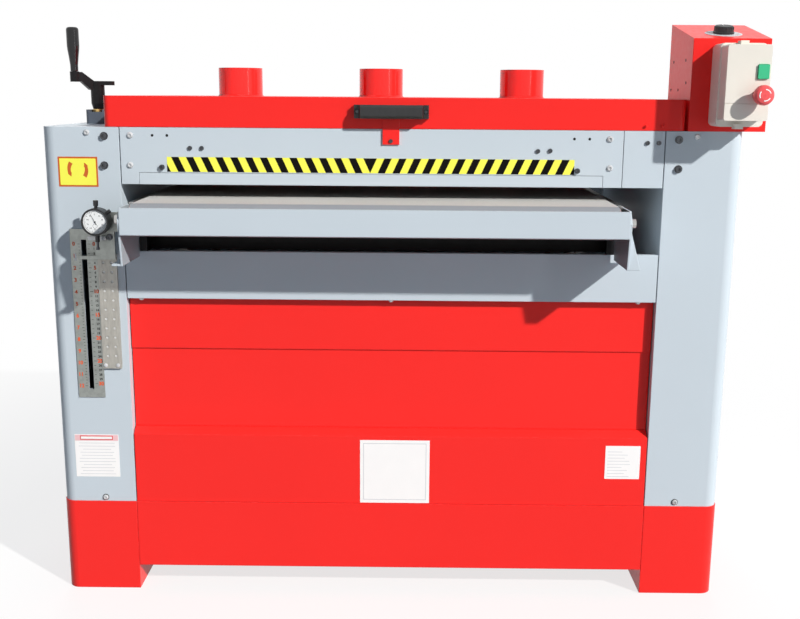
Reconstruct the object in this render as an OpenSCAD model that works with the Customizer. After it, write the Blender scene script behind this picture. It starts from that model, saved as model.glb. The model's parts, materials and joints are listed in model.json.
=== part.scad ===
// Double drum sander with a power-fed conveyor table, as separate named pieces.
// Millimetres, +Z up, the operator stands at -Y. Origin: on the floor, under the
// middle of the outline seen from above.

/* [Body] */
// width of a column's front
column_w = 159; // [140:1:190]
// height of the columns above the base
column_h = 805; // [700:1:950]
// height of the base
base_h = 204; // [195:1:230]
// free height under the base between the feet
foot_gap = 55; // [45:1:70]
// rounding of the outer column corners
corner_r = 26; // [15:1:40]
// sheet steel thickness
sheet = 3; // [2:0.5:4]
// thickness of the inner side plates
plate = 8; // [6:1:12]

/* [Front panels] */
// height of the flush lower panel
panel_h = 154; // [140:1:165]
// height of the sloping ledge on top of it
ledge_h = 13; // [8:1:20]
// set-back of the upper panel behind the column fronts
recess = 17; // [16:1:22]
// depth of the fold in the upper panel
joggle = 3; // [1:0.5:4]
// height of the panel above its fold
fold_drop = 133; // [60:1:200]

/* [Head] */
// width of the drum bearings' flanges
bearing_w = 76; // [68:1:90]
// gap between those flanges and the column's top sheet
bearing_gap = 2.5; // [1:0.5:10]
// how far the drums reach below the front beam
drum_drop = 3.5; // [2:0.5:8]
// width of the cover at the drive end of the beam
end_cover_w = 85; // [75:1:95]
// height of the guard strip let into the beam's lower edge
guard_h = 24; // [18:1:28]
// gap at the ends of the front beam and front panels
seam = 2; // [0.8:0.1:4]
// how far the hood laps over each column
hood_lap = 34; // [20:1:38]
// hood centre from the middle of the columns
hood_off = 4; // [2:1:4]
// gap between the drums and the hood's top
hood_gap = 28.5; // [15:0.5:50]
// hood sheet thickness
hood_t = 2.5; // [2:0.5:3]
// rounding of the hood's upright corners
hood_r = 12; // [6:1:20]
// outside diameter of a dust port
port_d = 100; // [80:1:125]
// wall of a dust port
port_wall = 2; // [1.5:0.5:3]
// height of a dust port
port_h = 63; // [50:1:90]
// distance between dust ports
port_pitch = 324; // [280:1:350]
// diameter of a sanding drum with its abrasive
drum_d = 150; // [125:1:180]
// length of a sanding drum past each edge of the belt
drum_over = 12.5; // [5:0.5:18]
// distance between the drum axes
drum_pitch = 220; // [200:1:230]
// diameter of the drum shafts
drum_shaft_d = 35; // [25:1:40]
// diameter of the pressure rollers
press_d = 50; // [44:1:52]
// distance from each drum axis to its pressure roller
press_off = 120; // [100:1:145]
// gap between the pressure rollers and the column fronts
front_gap = 65; // [45:1:120]

/* [Conveyor] */
// belt width
belt_w = 945; // [600:1:1300]
// gap between the belt's edge and the table's side plates
belt_edge = 17; // [12:1:25]
// gap between the table and the left column
gap_left = 30; // [24:1:60]
// gap between the table and the right column
gap_right = 91; // [60:1:140]
// belt thickness
belt_t = 2.5; // [2:0.5:3]
// radius inside the belt at its ends
belt_r = 30; // [25:1:36]
// how far the table stands out in front of and behind the columns
table_over = 150; // [120:1:260]
// gap between the belt and the end covers' outer faces
belt_gap = 7.5; // [6:0.5:15]
// height of the end covers
cover_h = 52; // [44:1:56]
// thickness of the table's side plates
side_t = 4; // [3:0.5:5]
// gap between belt and drums as shown
stock_h = 23; // [22:1:24]
// height of the aprons
apron_h = 100; // [92:1:104]

/* [Lift] */
// upward travel left
lift_up = 18; // [12:6:18]
// downward travel left
lift_down = 120; // [96:6:120]
// jack screw diameter
screw_d = 22; // [18:1:26]
// distance of the screws from the table's side plates
screw_in = 59.5; // [45:0.5:120]
// half the distance between the screws front to back
screw_y = 200; // [180:1:215]
// diameter of the chain wheels
wheel_d = 56; // [50:1:60]
// crank axis from the outer side of the left column
crank_edge = 53; // [45:1:63]
// crank axis in front of the middle
crank_y = 90; // [60:1:110]
// crank shaft diameter
crank_d = 18; // [14:1:20]
// crank arm length
arm_l = 50; // [44:1:54]

/* [Console] */
// left side of the console from the inner side of the right column
console_in = 43; // [42:1:60]
// console width
console_w = 155; // [145:1:165]
// console depth
console_d = 180; // [160:1:220]
// console height at the front
console_h = 182; // [150:1:220]
// rise of the sloping top towards the back
console_rise = 37; // [20:1:50]
// speed knob diameter
knob_d = 42; // [34:1:48]

/* [Gauge] */
// width of the height scale
scale_w = 56; // [50:1:62]
// height of the height scale
scale_h = 361; // [350:1:380]
// diameter of the dial gauge
dial_d = 55; // [48:1:58]

/* [Hidden] */
$fn = 64;
red = [0.84, 0.12, 0.10];
grey = [0.78, 0.81, 0.84];
steel = [0.70, 0.71, 0.72];
dark = [0.12, 0.12, 0.13];
cream = [0.93, 0.91, 0.86];
cloth = [0.72, 0.70, 0.67];
// running clearance of a turning fit, and the gap of a loose fit
run = 0.05;
loose = 0.3;
// planes across the machine, from the belt outwards
side_in = belt_w / 2 + belt_edge;
in_x = side_in + side_t + (gap_left + gap_right) / 2;
work_off = (gap_left - gap_right) / 2;
table_x0 = work_off - side_in;
table_x1 = work_off + side_in;
hw = in_x + column_w;
press_y = drum_pitch / 2 + press_off;
hd = press_y + press_d / 2 + front_gap;
drum_l = belt_w + 2 * drum_over;
table_l = 2 * (hd + table_over);
top_z = base_h + column_h;
base_x = hw + 1.5;
base_y = hd + 1.5;
foot_in = in_x - 1;
floor_t = 4;
console_x = in_x + console_in;
x_mid = (console_x + console_w - base_x) / 2;
// heights down from the head to the table
drum_r = drum_d / 2;
drum_z = top_z - sheet - bearing_gap - bearing_w / 2;
drum_low = drum_z - drum_r;
beam_z = drum_low + drum_drop;
beam_h = top_z - beam_z;
belt_top = drum_low - stock_h;
roller_r = belt_r - loose;
roller_z = belt_top - belt_t - belt_r;
belt_low = roller_z - belt_r - belt_t;
roller_y = table_l / 2 - belt_r - belt_t - belt_gap;
cover_top = belt_top - 6.5;
frame_h = 48;
frame_z = belt_low - 7 - frame_h;
apron_top = belt_top - 111.5;
panel_top = belt_low - lift_down - 4.5;
fold_z = panel_top - fold_drop;
// front panels
ledge_z = base_h + panel_h;
shelf_z = ledge_z + ledge_h;
// head
press_z = drum_low - 2.5 + press_d / 2;
pulley_r = 34;
motor_r = 84;
motor_l = 300;
motor_gap = 70;
motor_z = base_h + motor_r - 18;
motor_x1 = in_x - motor_gap;
motor_x0 = motor_x1 - motor_l;
motor_pulley_r = 50;
belt_x = in_x + plate + 40;
hood_x0 = hood_off - in_x - hood_lap;
hood_x1 = hood_off + in_x + hood_lap;
hood_z0 = top_z + 0.5;
hood_top = drum_z + drum_r + hood_gap + hood_t;
hood_y = hd - 0.5;
hinge_y = hd + 7.5;
hinge_z = top_z + 3;
hinge_x = hood_x1 - hood_off - 208;
handle_z = top_z + 21;
handle_h = 27;
handle_out = 32;
grip_back = handle_out - 13;
// lift
chassis_z = motor_z + motor_r + 46;
nut_r = 20;
nut_h = 56;
wheel_r = wheel_d / 2;
wheel_z = chassis_z + 40;
chain_z = wheel_z + 3;
screw_x = side_in - screw_in;
crank_x = hw - crank_edge;
screw_low = chassis_z - lift_up - 17;
screw_pts = [for (p = [[-1, -1], [1, -1], [1, 1], [-1, 1]]) [work_off + p[0] * screw_x, p[1] * screw_y]];
chain_pts = concat([[-crank_x, -crank_y]], screw_pts);
crank_r = crank_d / 2;
arm_dir = [-0.8, -0.6];
// console
con_y = -hd;
slope = atan(console_rise / console_d);
sw_w = 92;
sw_h = console_h - 22;
sw_x = console_x + console_w / 2 + 7.5;
sw_z = top_z + console_h / 2;
face_y = con_y - 95;
start_x = sw_x + 25.5;
start_z = sw_z + 25;
stop_x = sw_x + 21;
stop_z = sw_z - 19;
knob_x = console_x + console_w / 2 - 2.5;
knob_s = console_d / 3;
// gauge
point_z = belt_top - 126;
scale_z = point_z - 301.5;
slot_w = 11;
slot_z0 = scale_z + 18;
slot_z1 = scale_z + scale_h - 22;
hole_w = 39;
hole_h = scale_h - 116;
hole_z = scale_z + 65;
hole_pitch = 20;
hole_x = -in_x - 35;
scale_x = hole_x - hole_w / 2 - 0.5 - scale_w / 2;
dial_x = -in_x - 39;
dial_z = belt_top - 44.5;
dial_y = -hd - 50;
plate_y = -hd - 24;

// outline square towards the middle, with round corners on the outer side
module d_shape(x0, x1, hy, r) {
    translate([x0, -hy]) square([x1 - r - x0, 2 * hy]);
    translate([x0, r - hy]) square([x1 - x0, 2 * (hy - r)]);
    for (s = [-1, 1]) translate([x1 - r, s * (hy - r)]) circle(r);
}
module round_rect(w, h, r) {
    square([w, h - 2 * r], center = true);
    square([w - 2 * r, h], center = true);
    for (x = [-1, 1], y = [-1, 1]) translate([x * (w / 2 - r), y * (h / 2 - r)]) circle(r);
}
// flat shapes given as (Y, Z) drawn out along X, and as (X, Z) drawn out along Y
module along_x(x0, x1) translate([x0, 0, 0]) rotate([90, 0, 90]) linear_extrude(x1 - x0) children();
module along_y(y0, y1) translate([0, y1, 0]) rotate([90, 0, 0]) linear_extrude(y1 - y0) children();
module rod_x(x0, x1, y, z, r) translate([x0, y, z]) rotate([0, 90, 0]) cylinder(h = x1 - x0, r = r);
module rod_y(x, y0, y1, z, r) translate([x, y1, z]) rotate([90, 0, 0]) cylinder(h = y1 - y0, r = r);
module box(x0, x1, y0, y1, z0, z1) translate([x0, y0, z0]) cube([x1 - x0, y1 - y0, z1 - z0]);
module both_y() {
    children();
    mirror([0, 1, 0]) children();
}
module both_x() {
    children();
    mirror([1, 0, 0]) children();
}
// outline of a loop laid round equal wheels, and round two unequal ones
module loop_equal(p, r) {
    n = len(p);
    polygon(p);
    for (i = [0 : n - 1]) {
        a = p[i];
        b = p[(i + 1) % n];
        k = norm(b - a);
        o = [(b[1] - a[1]) / k, (a[0] - b[0]) / k] * r;
        polygon([a, b, b + o, a + o]);
        translate(a) circle(r);
    }
}
module loop_two(a, ra, b, rb) {
    f = atan2(b[1] - a[1], b[0] - a[0]);
    t = acos((ra - rb) / norm(b - a));
    polygon([a + ra * [cos(f + t), sin(f + t)], a, a + ra * [cos(f - t), sin(f - t)],
        b + rb * [cos(f - t), sin(f - t)], b, b + rb * [cos(f + t), sin(f + t)]]);
    translate(a) circle(ra);
    translate(b) circle(rb);
}

// base: two foot boxes open below, plinth panels and a floor pan between them
module foot_box() difference() {
    linear_extrude(base_h) d_shape(foot_in, base_x, base_y, corner_r);
    translate([0, 0, floor_t]) linear_extrude(base_h - 2 * floor_t)
        d_shape(foot_in + sheet, base_x - sheet, base_y - sheet, corner_r - sheet);
    translate([0, 0, -1]) linear_extrude(floor_t + 2)
        d_shape(foot_in + 30, base_x - 30, base_y - 30, 10);
}
module base_frame() color(red) difference() {
    union() {
        both_x() foot_box();
        both_y() box(-foot_in, foot_in, -base_y, -base_y + sheet, foot_gap, base_h);
        box(-foot_in, foot_in, -base_y, base_y, foot_gap, foot_gap + floor_t);
    }
    both_x() both_y() box(foot_in - 0.6, foot_in + 0.6, -base_y - 1, -base_y + 1, foot_gap - 1, base_h + 1);
}

// columns: folded covers open towards the middle, closed there by the side plates
module column_shell() difference() {
    translate([0, 0, base_h]) linear_extrude(column_h) d_shape(in_x, hw, hd, corner_r);
    translate([0, 0, base_h - 1]) linear_extrude(column_h - sheet + 1)
        d_shape(in_x - 1, hw - sheet, hd - sheet, corner_r - sheet);
}
module column_left() color(grey) difference() {
    mirror([1, 0, 0]) column_shell();
    box(scale_x - slot_w / 2, scale_x + slot_w / 2, -hd - 1, -hd + sheet + 1, slot_z0, slot_z1);
    translate([-crank_x, -crank_y, top_z - sheet - 1]) cylinder(h = sheet + 2, r = crank_r + 4);
}
module column_right() color(grey) column_shell();
module side_plate() difference() {
    box(in_x, in_x + plate, -hd + sheet, hd - sheet, base_h, top_z - sheet);
    for (s = [-1, 1]) rod_x(in_x - 1, in_x + plate + 1, s * drum_pitch / 2, drum_z, drum_shaft_d / 2 + 3);
}
module side_plate_left() color(grey) difference() {
    mirror([1, 0, 0]) side_plate();
    box(-in_x - plate - 1, -in_x + 1, -screw_y - 25, screw_y - 20, chain_z - 9, chain_z + 15);
}
module side_plate_right() color(grey) difference() {
    side_plate();
    rod_x(in_x - 1, in_x + plate + 1, 0, motor_z, 30);
}

// front beam, drive-end cover, guard strip and the sheets at the back
module beam_profile() {
    translate([-hd, beam_z]) square([sheet, beam_h]);
    translate([-hd, top_z - sheet]) square([40, sheet]);
    translate([-hd, beam_z]) square([22, sheet]);
}
beam_x1 = in_x - end_cover_w;
guard_x0 = -in_x + 38;
guard_x1 = beam_x1 - 39;
module front_beam() color(grey) difference() {
    union() {
        along_x(-in_x + seam, beam_x1 - 0.6) beam_profile();
        box(-in_x, -in_x + seam + sheet, -hd + 8, -hd + 40, beam_z, top_z);
    }
    box(guard_x0, guard_x1, -hd - 1, -hd + 30, beam_z - 1, beam_z + guard_h);
}
module beam_end_cover() color(grey) {
    along_x(beam_x1 + 0.6, in_x - seam) beam_profile();
    box(in_x - seam - sheet, in_x, -hd + 8, -hd + 40, beam_z, top_z);
}
module infeed_guard() color(grey) {
    box(guard_x0 + 0.6, guard_x1 - 0.6, -hd, -hd + sheet, beam_z, beam_z + guard_h - 0.6);
    box(guard_x0 + 0.6, guard_x1 - 0.6, -hd, -hd + 22, beam_z, beam_z + sheet);
    for (x = [guard_x0 + 48, guard_x1 - 53])
        box(x - 15, x + 15, -hd + sheet, -hd + sheet + 2.5, beam_z + 8, beam_z + guard_h + 24);
}
module rear_panels() color(grey) {
    mirror([0, 1, 0]) along_x(-in_x, in_x) beam_profile();
    box(-in_x, in_x, hd - recess - sheet, hd - recess, base_h, panel_top);
    box(-in_x, in_x, hd - recess - sheet, hd, base_h, base_h + sheet);
}
module front_panel_lower() color(red) along_x(-in_x + seam, in_x - seam) polygon([
    [-hd, base_h], [-hd, ledge_z], [recess - hd, shelf_z], [recess + joggle + sheet - hd, shelf_z],
    [recess + joggle + sheet - hd, shelf_z - sheet], [recess - hd + 1, shelf_z - sheet],
    [sheet - hd, ledge_z - 1.4], [sheet - hd, base_h]]);
module front_panel_upper() color(red) {
    box(-in_x + seam, in_x - seam, recess - hd, recess + joggle - hd, fold_z, panel_top);
    box(-in_x + seam, in_x - seam, recess + joggle - hd, recess + joggle + sheet - hd, shelf_z, fold_z + 12);
}

// table lift: chassis with four bearing collars, chain, crank bearings
module lift_chassis() color(grey) difference() {
    union() {
        box(-in_x, in_x, -hd + 36, hd - 36, chassis_z - 8, chassis_z);
        both_y() box(-in_x, in_x, -hd + 36, -hd + 40, chassis_z - 40, chassis_z);
        for (p = screw_pts) translate([p[0], p[1], chassis_z]) cylinder(h = 17, r = nut_r + 14);
    }
    for (p = screw_pts) {
        translate([p[0], p[1], chassis_z]) cylinder(h = 20, r = nut_r + run);
        translate([p[0], p[1], chassis_z - 20]) cylinder(h = 40, r = screw_d / 2 + 2);
    }
}
module lift_chain() color(dark) translate([0, 0, chain_z]) linear_extrude(6) difference() {
    loop_equal(chain_pts, wheel_r + 6);
    loop_equal(chain_pts, wheel_r + loose);
}
module crank_block() color(grey) {
    difference() {
        translate([-crank_x, -crank_y, top_z]) linear_extrude(31) round_rect(46, 50, 9);
        translate([-crank_x, -crank_y, top_z - 1]) cylinder(h = 40, r = crank_r + run);
        translate([-crank_x, -crank_y, top_z + 26]) cylinder(h = 10, r = crank_r + 5);
        box(-crank_x - crank_r - 5, -crank_x + crank_r + 5, -crank_y - 30, -crank_y, top_z + 26, top_z + 40);
    }
    difference() {
        box(-crank_x - 26, -in_x - plate, -crank_y - 25, -crank_y + 25, wheel_z - 32, wheel_z - 12);
        translate([-crank_x, -crank_y, wheel_z - 40]) cylinder(h = 40, r = crank_r + run);
    }
}
module wheel(r, h) difference() {
    cylinder(h = h, r = r);
    for (a = [0 : 60 : 300]) rotate(a) translate([r - 10, 0, -1]) cylinder(h = h + 2, r = 3);
}
module crank_shaft() color(steel) translate([-crank_x, -crank_y, 0]) {
    translate([0, 0, wheel_z - 36]) cylinder(h = top_z + 78 - wheel_z + 36, r = crank_r);
    translate([0, 0, wheel_z]) difference() {
        union() {
            wheel(wheel_r, 12);
            translate([0, 0, -11.7]) cylinder(h = 36, r = crank_r + 6);
        }
        translate([0, 0, -20]) cylinder(h = 60, r = crank_r - 0.5);
    }
    translate([0, 0, top_z + 26.3]) cylinder(h = 5.7, r = crank_r + 4);
}
module crank_arm() color(dark) translate([-crank_x, -crank_y, 0]) difference() {
    union() {
        translate([0, 0, top_z + 32.3]) cylinder(h = 12, r1 = crank_r + 2.5, r2 = 15);
        translate([0, 0, top_z + 44.3]) cylinder(h = 45, r = 15);
        translate([0, 0, top_z + 84]) linear_extrude(9) {
            circle(15);
            translate([0, -11]) square([27, 22]);
            translate([27, 0]) circle(11);
        }
        rotate(atan2(arm_dir[1], arm_dir[0])) rotate([90, 0, 0]) translate([0, 0, -8]) linear_extrude(16)
            polygon([[0, top_z + 72], [0, top_z + 93], [10, top_z + 93], [arm_l - 14, top_z + 112],
                [arm_l, top_z + 112], [arm_l, top_z + 92], [arm_l - 12, top_z + 92], [18, top_z + 74]]);
        translate([arm_dir[0] * arm_l, arm_dir[1] * arm_l, top_z + 91]) cylinder(h = 22, r = 10);
        translate([arm_dir[0] * arm_l, arm_dir[1] * arm_l, top_z + 100]) cylinder(h = 94, r = 4);
    }
    translate([0, 0, top_z + 30]) cylinder(h = 48.1, r = crank_r + 0.02);
}
module crank_grip() color(dark)
    translate([arm_dir[0] * arm_l - crank_x, arm_dir[1] * arm_l - crank_y, top_z + 113.3])
    rotate_extrude() polygon([[4.05, 0], [8, 0], [8.3, 2], [8.4, 14], [10.5, 32], [12.6, 47], [13.2, 54],
        [13.2, 88], [12.2, 91.5], [9.5, 93.5], [0, 94], [0, 86], [4.05, 86]]);
module lift_nut(i) color(steel) translate([screw_pts[i][0], screw_pts[i][1], chassis_z]) difference() {
    union() {
        cylinder(h = nut_h, r = nut_r);
        translate([0, 0, 40]) wheel(wheel_r, 12);
    }
    translate([0, 0, -1]) cylinder(h = nut_h + 2, r = screw_d / 2 + run);
}
module lift_nut_front_left() lift_nut(0);
module lift_nut_front_right() lift_nut(1);
module lift_nut_rear_right() lift_nut(2);
module lift_nut_rear_left() lift_nut(3);

// table: frame of square tube, jack screws, aprons, bed, sides, covers, belt
cross_x = screw_x - 160;
module table_frame() color(grey) difference() {
    union() {
        both_y() box(table_x0, table_x1, screw_y - 25, screw_y + 25, frame_z, frame_z + frame_h);
        both_x() box(cross_x, cross_x + 50, 25 - screw_y, screw_y - 25, frame_z, frame_z + frame_h);
    }
    both_y() box(table_x0 - 1, table_x1 + 1, screw_y - 22, screw_y + 22,
        frame_z + 3, frame_z + frame_h - 3);
    both_x() box(cross_x + 3, cross_x + 47, -screw_y, screw_y, frame_z + 3, frame_z + frame_h - 3);
}
module jack_screws() color(steel) for (p = screw_pts) translate([p[0], p[1], 0]) {
    translate([0, 0, screw_low]) cylinder(h = frame_z - screw_low, r = screw_d / 2);
    translate([0, 0, frame_z - 8]) cylinder(h = 8, r = screw_d / 2 + 14);
}
module aprons() color(grey) both_y() {
    box(-in_x + 2, in_x - 2, -hd, -hd + sheet, apron_top - apron_h, apron_top);
    for (z = [apron_top - apron_h, apron_top - sheet]) box(-in_x + 2, in_x - 2, -hd, -hd + 12, z, z + sheet);
    for (x = [in_x - 2 - sheet, -in_x + 2])
        box(x, x + sheet, -hd, -hd + 12, apron_top - apron_h, apron_top);
}
bed_y = roller_y - roller_r - 8.3;
module conveyor_bed() color(steel)
    box(table_x0, table_x1, -bed_y, bed_y, belt_top - belt_t - 8, belt_top - belt_t);
module side_outline() {
    h = table_l / 2;
    polygon([[-h, cover_top - 24], [18 - h, cover_top], [h - 18, cover_top], [h, cover_top - 24],
        [h - 14, frame_z - 1], [hd + 8, frame_z - 1], [hd + 8, belt_low + 3.5], [hd - 36, belt_low + 3.5],
        [hd - 36, frame_z], [36 - hd, frame_z], [36 - hd, belt_low + 3.5], [-hd - 8, belt_low + 3.5],
        [-hd - 8, frame_z - 1], [14 - h, frame_z - 1]]);
}
side_flange = 22;
lip_y = 14 - table_l / 2;
module conveyor_sides() color(grey) for (s = [-1, 1]) {
    x0 = work_off + s * side_in + (s < 0 ? -side_t : 0);
    difference() {
        along_x(x0, x0 + side_t) side_outline();
        for (y = [-1, 1]) rod_x(x0 - 1, x0 + side_t + 1, y * roller_y, roller_z, axle_r + 1);
    }
    x1 = x0 + side_t;
    both_y() box(s < 0 ? x0 - 18 : x1, s < 0 ? x0 : x1 + side_flange, lip_y, -hd - 12,
        frame_z - 1, frame_z + side_t - 1);
    both_y() {
        box(s < 0 ? x1 - 1 : x0 - 14, s < 0 ? x1 + 14 : x0 + 1, -hd, -hd + sheet, apron_top, roller_z);
        box(s < 0 ? x1 : x0 - 14, s < 0 ? x1 + 14 : x0, -hd, -hd + 12, apron_top, apron_top + sheet);
    }
    if (s > 0) along_y(lip_y, lip_y + side_t)
        polygon([[x1, frame_z], [x1 + side_flange, frame_z], [x1, roller_z - 8]]);
}
module conveyor_covers() color(grey) both_y() {
    y = -table_l / 2;
    box(table_x0, table_x1, y, y + 2.5, cover_top - cover_h, cover_top);
    box(table_x0, table_x1, y, y + 9, cover_top - 2.5, cover_top);
    box(table_x0, table_x1, y, y + belt_gap - 1, cover_top - cover_h, cover_top - cover_h + 2.5);
}
module belt_outline(r) {
    translate([-roller_y, roller_z - r]) square([2 * roller_y, 2 * r]);
    for (s = [-1, 1]) translate([s * roller_y, roller_z]) circle(r);
}
module conveyor_belt() color(cloth) along_x(work_off - belt_w / 2, work_off + belt_w / 2) difference() {
    belt_outline(belt_r + belt_t);
    belt_outline(belt_r);
}
module roller_bearing(x0, x1, y) difference() {
    rod_x(x0, x1, y, roller_z, axle_r + 3);
    rod_x(x0 - 1, x1 + 1, y, roller_z, axle_r + run);
}
module roller_bearings() color(steel) {
    for (y = [-1, 1]) roller_bearing(table_x0 - side_t - 14, table_x0 - side_t, y * roller_y);
    roller_bearing(table_x1 + side_t, table_x1 + side_t + 14, -roller_y);
}
gear_x = table_x1 + side_t;
axle_r = 6;
module feed_motor() color(dark) difference() {
    union() {
        box(gear_x, gear_x + 78, roller_y - 38, roller_y + 38, roller_z - 45, roller_z + 38);
        rod_x(gear_x + 78, gear_x + 218, roller_y, roller_z, 38);
        rod_x(gear_x + 218, gear_x + 232, roller_y, roller_z, 34);
        box(gear_x + 100, gear_x + 160, roller_y - 26, roller_y + 26, roller_z + 20, roller_z + 56);
    }
    rod_x(gear_x - 1, gear_x + 30, roller_y, roller_z, axle_r + run);
}
module roller(y, x1) color(steel) {
    rod_x(work_off - belt_w / 2 - 3, work_off + belt_w / 2 + 3, y, roller_z, roller_r);
    rod_x(table_x0 - side_t - 12, x1, y, roller_z, axle_r);
}
module idler_roller() roller(-roller_y, gear_x + 12);
module drive_roller() roller(roller_y, gear_x + 26);

// height gauge: scale and hole plate on the column, pointer and dial on the table
module scale_plate() color(steel) along_y(-hd - 2, -hd) difference() {
    translate([scale_x - scale_w / 2, scale_z]) square([scale_w, scale_h]);
    translate([scale_x - slot_w / 2, slot_z0]) square([slot_w, slot_z1 - slot_z0]);
}
module hole_plate() color(steel) along_y(-hd - 6, -hd) difference() {
    translate([hole_x - hole_w / 2, hole_z]) square([hole_w, hole_h]);
    for (z = [hole_z + 27 : hole_pitch : hole_z + hole_h - 17], s = [-1, 1])
        translate([hole_x + s * 8.5, z]) circle(3, $fn = 24);
}
module gauge_bracket() color(dark) {
    along_y(plate_y, plate_y + 4) {
        translate([dial_x - 25, dial_z - 24]) square([table_x0 - side_t - dial_x + 25, 40]);
        translate([-in_x - 52, point_z]) square([40, 62]);
        translate([scale_x - slot_w / 2, point_z]) square([70, 7]);
    }
    box(table_x0 - side_t - 4, table_x0 - side_t, plate_y - 28, plate_y + 4, dial_z - 24, dial_z + 16);
}
module dial_gauge() color(dark) difference() {
    union() {
        rod_y(dial_x, dial_y - 14, dial_y + 14, dial_z, dial_d / 2);
        rod_y(dial_x, dial_y, plate_y, dial_z, 9);
        translate([dial_x, dial_y, dial_z - dial_d / 2 - 14]) cylinder(h = 30, r = 4.5);
        translate([dial_x, dial_y, dial_z]) cylinder(h = dial_d / 2 + 8, r = 3.5);
        translate([dial_x, dial_y, dial_z + dial_d / 2 + 4]) cylinder(h = 11, r = 5);
        translate([dial_x, dial_y, dial_z]) rotate([0, 52, 0]) cylinder(h = dial_d / 2 + 8, r = 4);
    }
    rod_y(dial_x, dial_y - 15, dial_y - 11, dial_z, dial_d / 2 - 3.5);
    translate([dial_x, dial_y, dial_z - dial_d]) cylinder(h = dial_d - 2, r = 2.5 + run);
}
module dial_spindle() color(steel) translate([dial_x, dial_y, dial_z - dial_d / 2 - 30]) {
    cylinder(h = 42, r = 2.5);
    cylinder(h = 5, r = 3.5);
}

// sanding drums in flange bearings, drive pulleys, motor and belts
module bearing_unit(y) difference() {
    union() {
        along_x(in_x + plate, in_x + plate + 12) translate([y, drum_z]) round_rect(bearing_w, bearing_w, 10);
        rod_x(in_x + plate, in_x + plate + 28, y, drum_z, 31);
    }
    rod_x(in_x, in_x + plate + 30, y, drum_z, drum_shaft_d / 2 + run);
}
module drum_bearings() color(steel) both_x() for (s = [-1, 1]) bearing_unit(s * drum_pitch / 2);
module drum(y, px) {
    x0 = work_off - drum_l / 2;
    x1 = work_off + drum_l / 2;
    color(steel) difference() {
        rod_x(x0, x1, y, drum_z, drum_r - 1);
        rod_x(x0 + 12, x1 - 12, y, drum_z, drum_r - 13);
        for (a = [0 : 90 : 270])
            rod_x(x0 - 1, x1 + 1, y + cos(a) * drum_r * 0.53, drum_z + sin(a) * drum_r * 0.53, 12);
    }
    color(steel) rod_x(-in_x - plate - 32, px + 22, y, drum_z, drum_shaft_d / 2);
    color(dark) difference() {
        rod_x(x0 + 2, x1 - 2, y, drum_z, drum_r);
        rod_x(x0, x1, y, drum_z, drum_r - 3);
    }
    color(dark) rod_x(px, px + 20, y, drum_z, pulley_r);
}
module drum_front() drum(-drum_pitch / 2, belt_x);
module drum_rear() drum(drum_pitch / 2, belt_x + 22);
module main_motor() color(dark) difference() {
    union() {
        rod_x(motor_x0, motor_x1, 0, motor_z, motor_r);
        rod_x(motor_x1, motor_x1 + 40, 0, motor_z, motor_r - 14);
        rod_x(motor_x0 - 30, motor_x0, 0, motor_z, motor_r - 6);
        for (x = [motor_x0 + 40, motor_x1 - 60])
            box(x, x + 12, -75, 75, foot_gap + floor_t, motor_z - motor_r + 30);
        box(motor_x0 + 80, motor_x0 + 180, -45, 45, motor_z + motor_r - 20, motor_z + motor_r + 24);
    }
    rod_x(motor_x1 - 20, in_x, 0, motor_z, 14 + run);
}
module motor_pulley() color(steel) {
    rod_x(motor_x1 - 18, belt_x + 42, 0, motor_z, 14);
    rod_x(belt_x - 2, belt_x + 44, 0, motor_z, motor_pulley_r);
}
module drive_belts() color(dark) for (i = [0, 1]) translate([belt_x + i * 22, 0, 0])
    along_x(2, 18) difference() {
    d = [(i * 2 - 1) * drum_pitch / 2, drum_z];
    loop_two([0, motor_z], motor_pulley_r + 4.5, d, pulley_r + 4.5);
    loop_two([0, motor_z], motor_pulley_r + loose, d, pulley_r + loose);
}

// pressure rollers: bearing blocks that float on springs, and the rollers in them
module pressure_block(y) difference() {
    box(in_x - loose - 28, in_x - loose, y - 22, y + 22, press_z - 16, press_z + 40);
    rod_x(in_x - 40, in_x, y, press_z, 8 + run);
}
module pressure_brackets_front() color(dark) both_x() pressure_block(-press_y);
module pressure_brackets_rear() color(dark) both_x() pressure_block(press_y);
module pressure_roller(y) color(steel) {
    rod_x(work_off - drum_l / 2, work_off + drum_l / 2, y, press_z, press_d / 2);
    rod_x(-in_x + 4, in_x - 4, y, press_z, 8);
}
module pressure_roller_front() pressure_roller(-press_y);
module pressure_roller_rear() pressure_roller(press_y);

// hood: shell with latch tab, ports, handle, hinges
module port_at() for (i = [-1, 0, 1]) translate([work_off + i * port_pitch, 0, 0]) children();
module hood_block(e, z0, z1) translate([hood_off, -0.5, z0]) linear_extrude(z1 - z0)
    round_rect(hood_x1 - hood_x0 - 2 * e, 2 * (hd - e), hood_r - e);
module hood_shell() color(red) difference() {
    union() {
        difference() {
            hood_block(0, hood_z0, hood_top);
            hood_block(hood_t, hood_z0 - 1, hood_top - hood_t);
        }
        box(-19, 15, -hd - 3.5, -hd - 0.5, top_z - 31, handle_z - 1);
    }
    port_at() translate([0, 0, hood_top - hood_t - 1]) cylinder(h = hood_t + 2, r = port_d / 2 - port_wall);
    rod_y(-2, -hd - 5, -hd + 1, top_z - 24, 3.5);
}
module dust_ports() color(red) port_at() translate([0, 0, hood_top]) difference() {
    cylinder(h = port_h, r = port_d / 2, $fn = 96);
    translate([0, 0, -1]) cylinder(h = port_h + 2, r = port_d / 2 - port_wall, $fn = 96);
}
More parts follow.
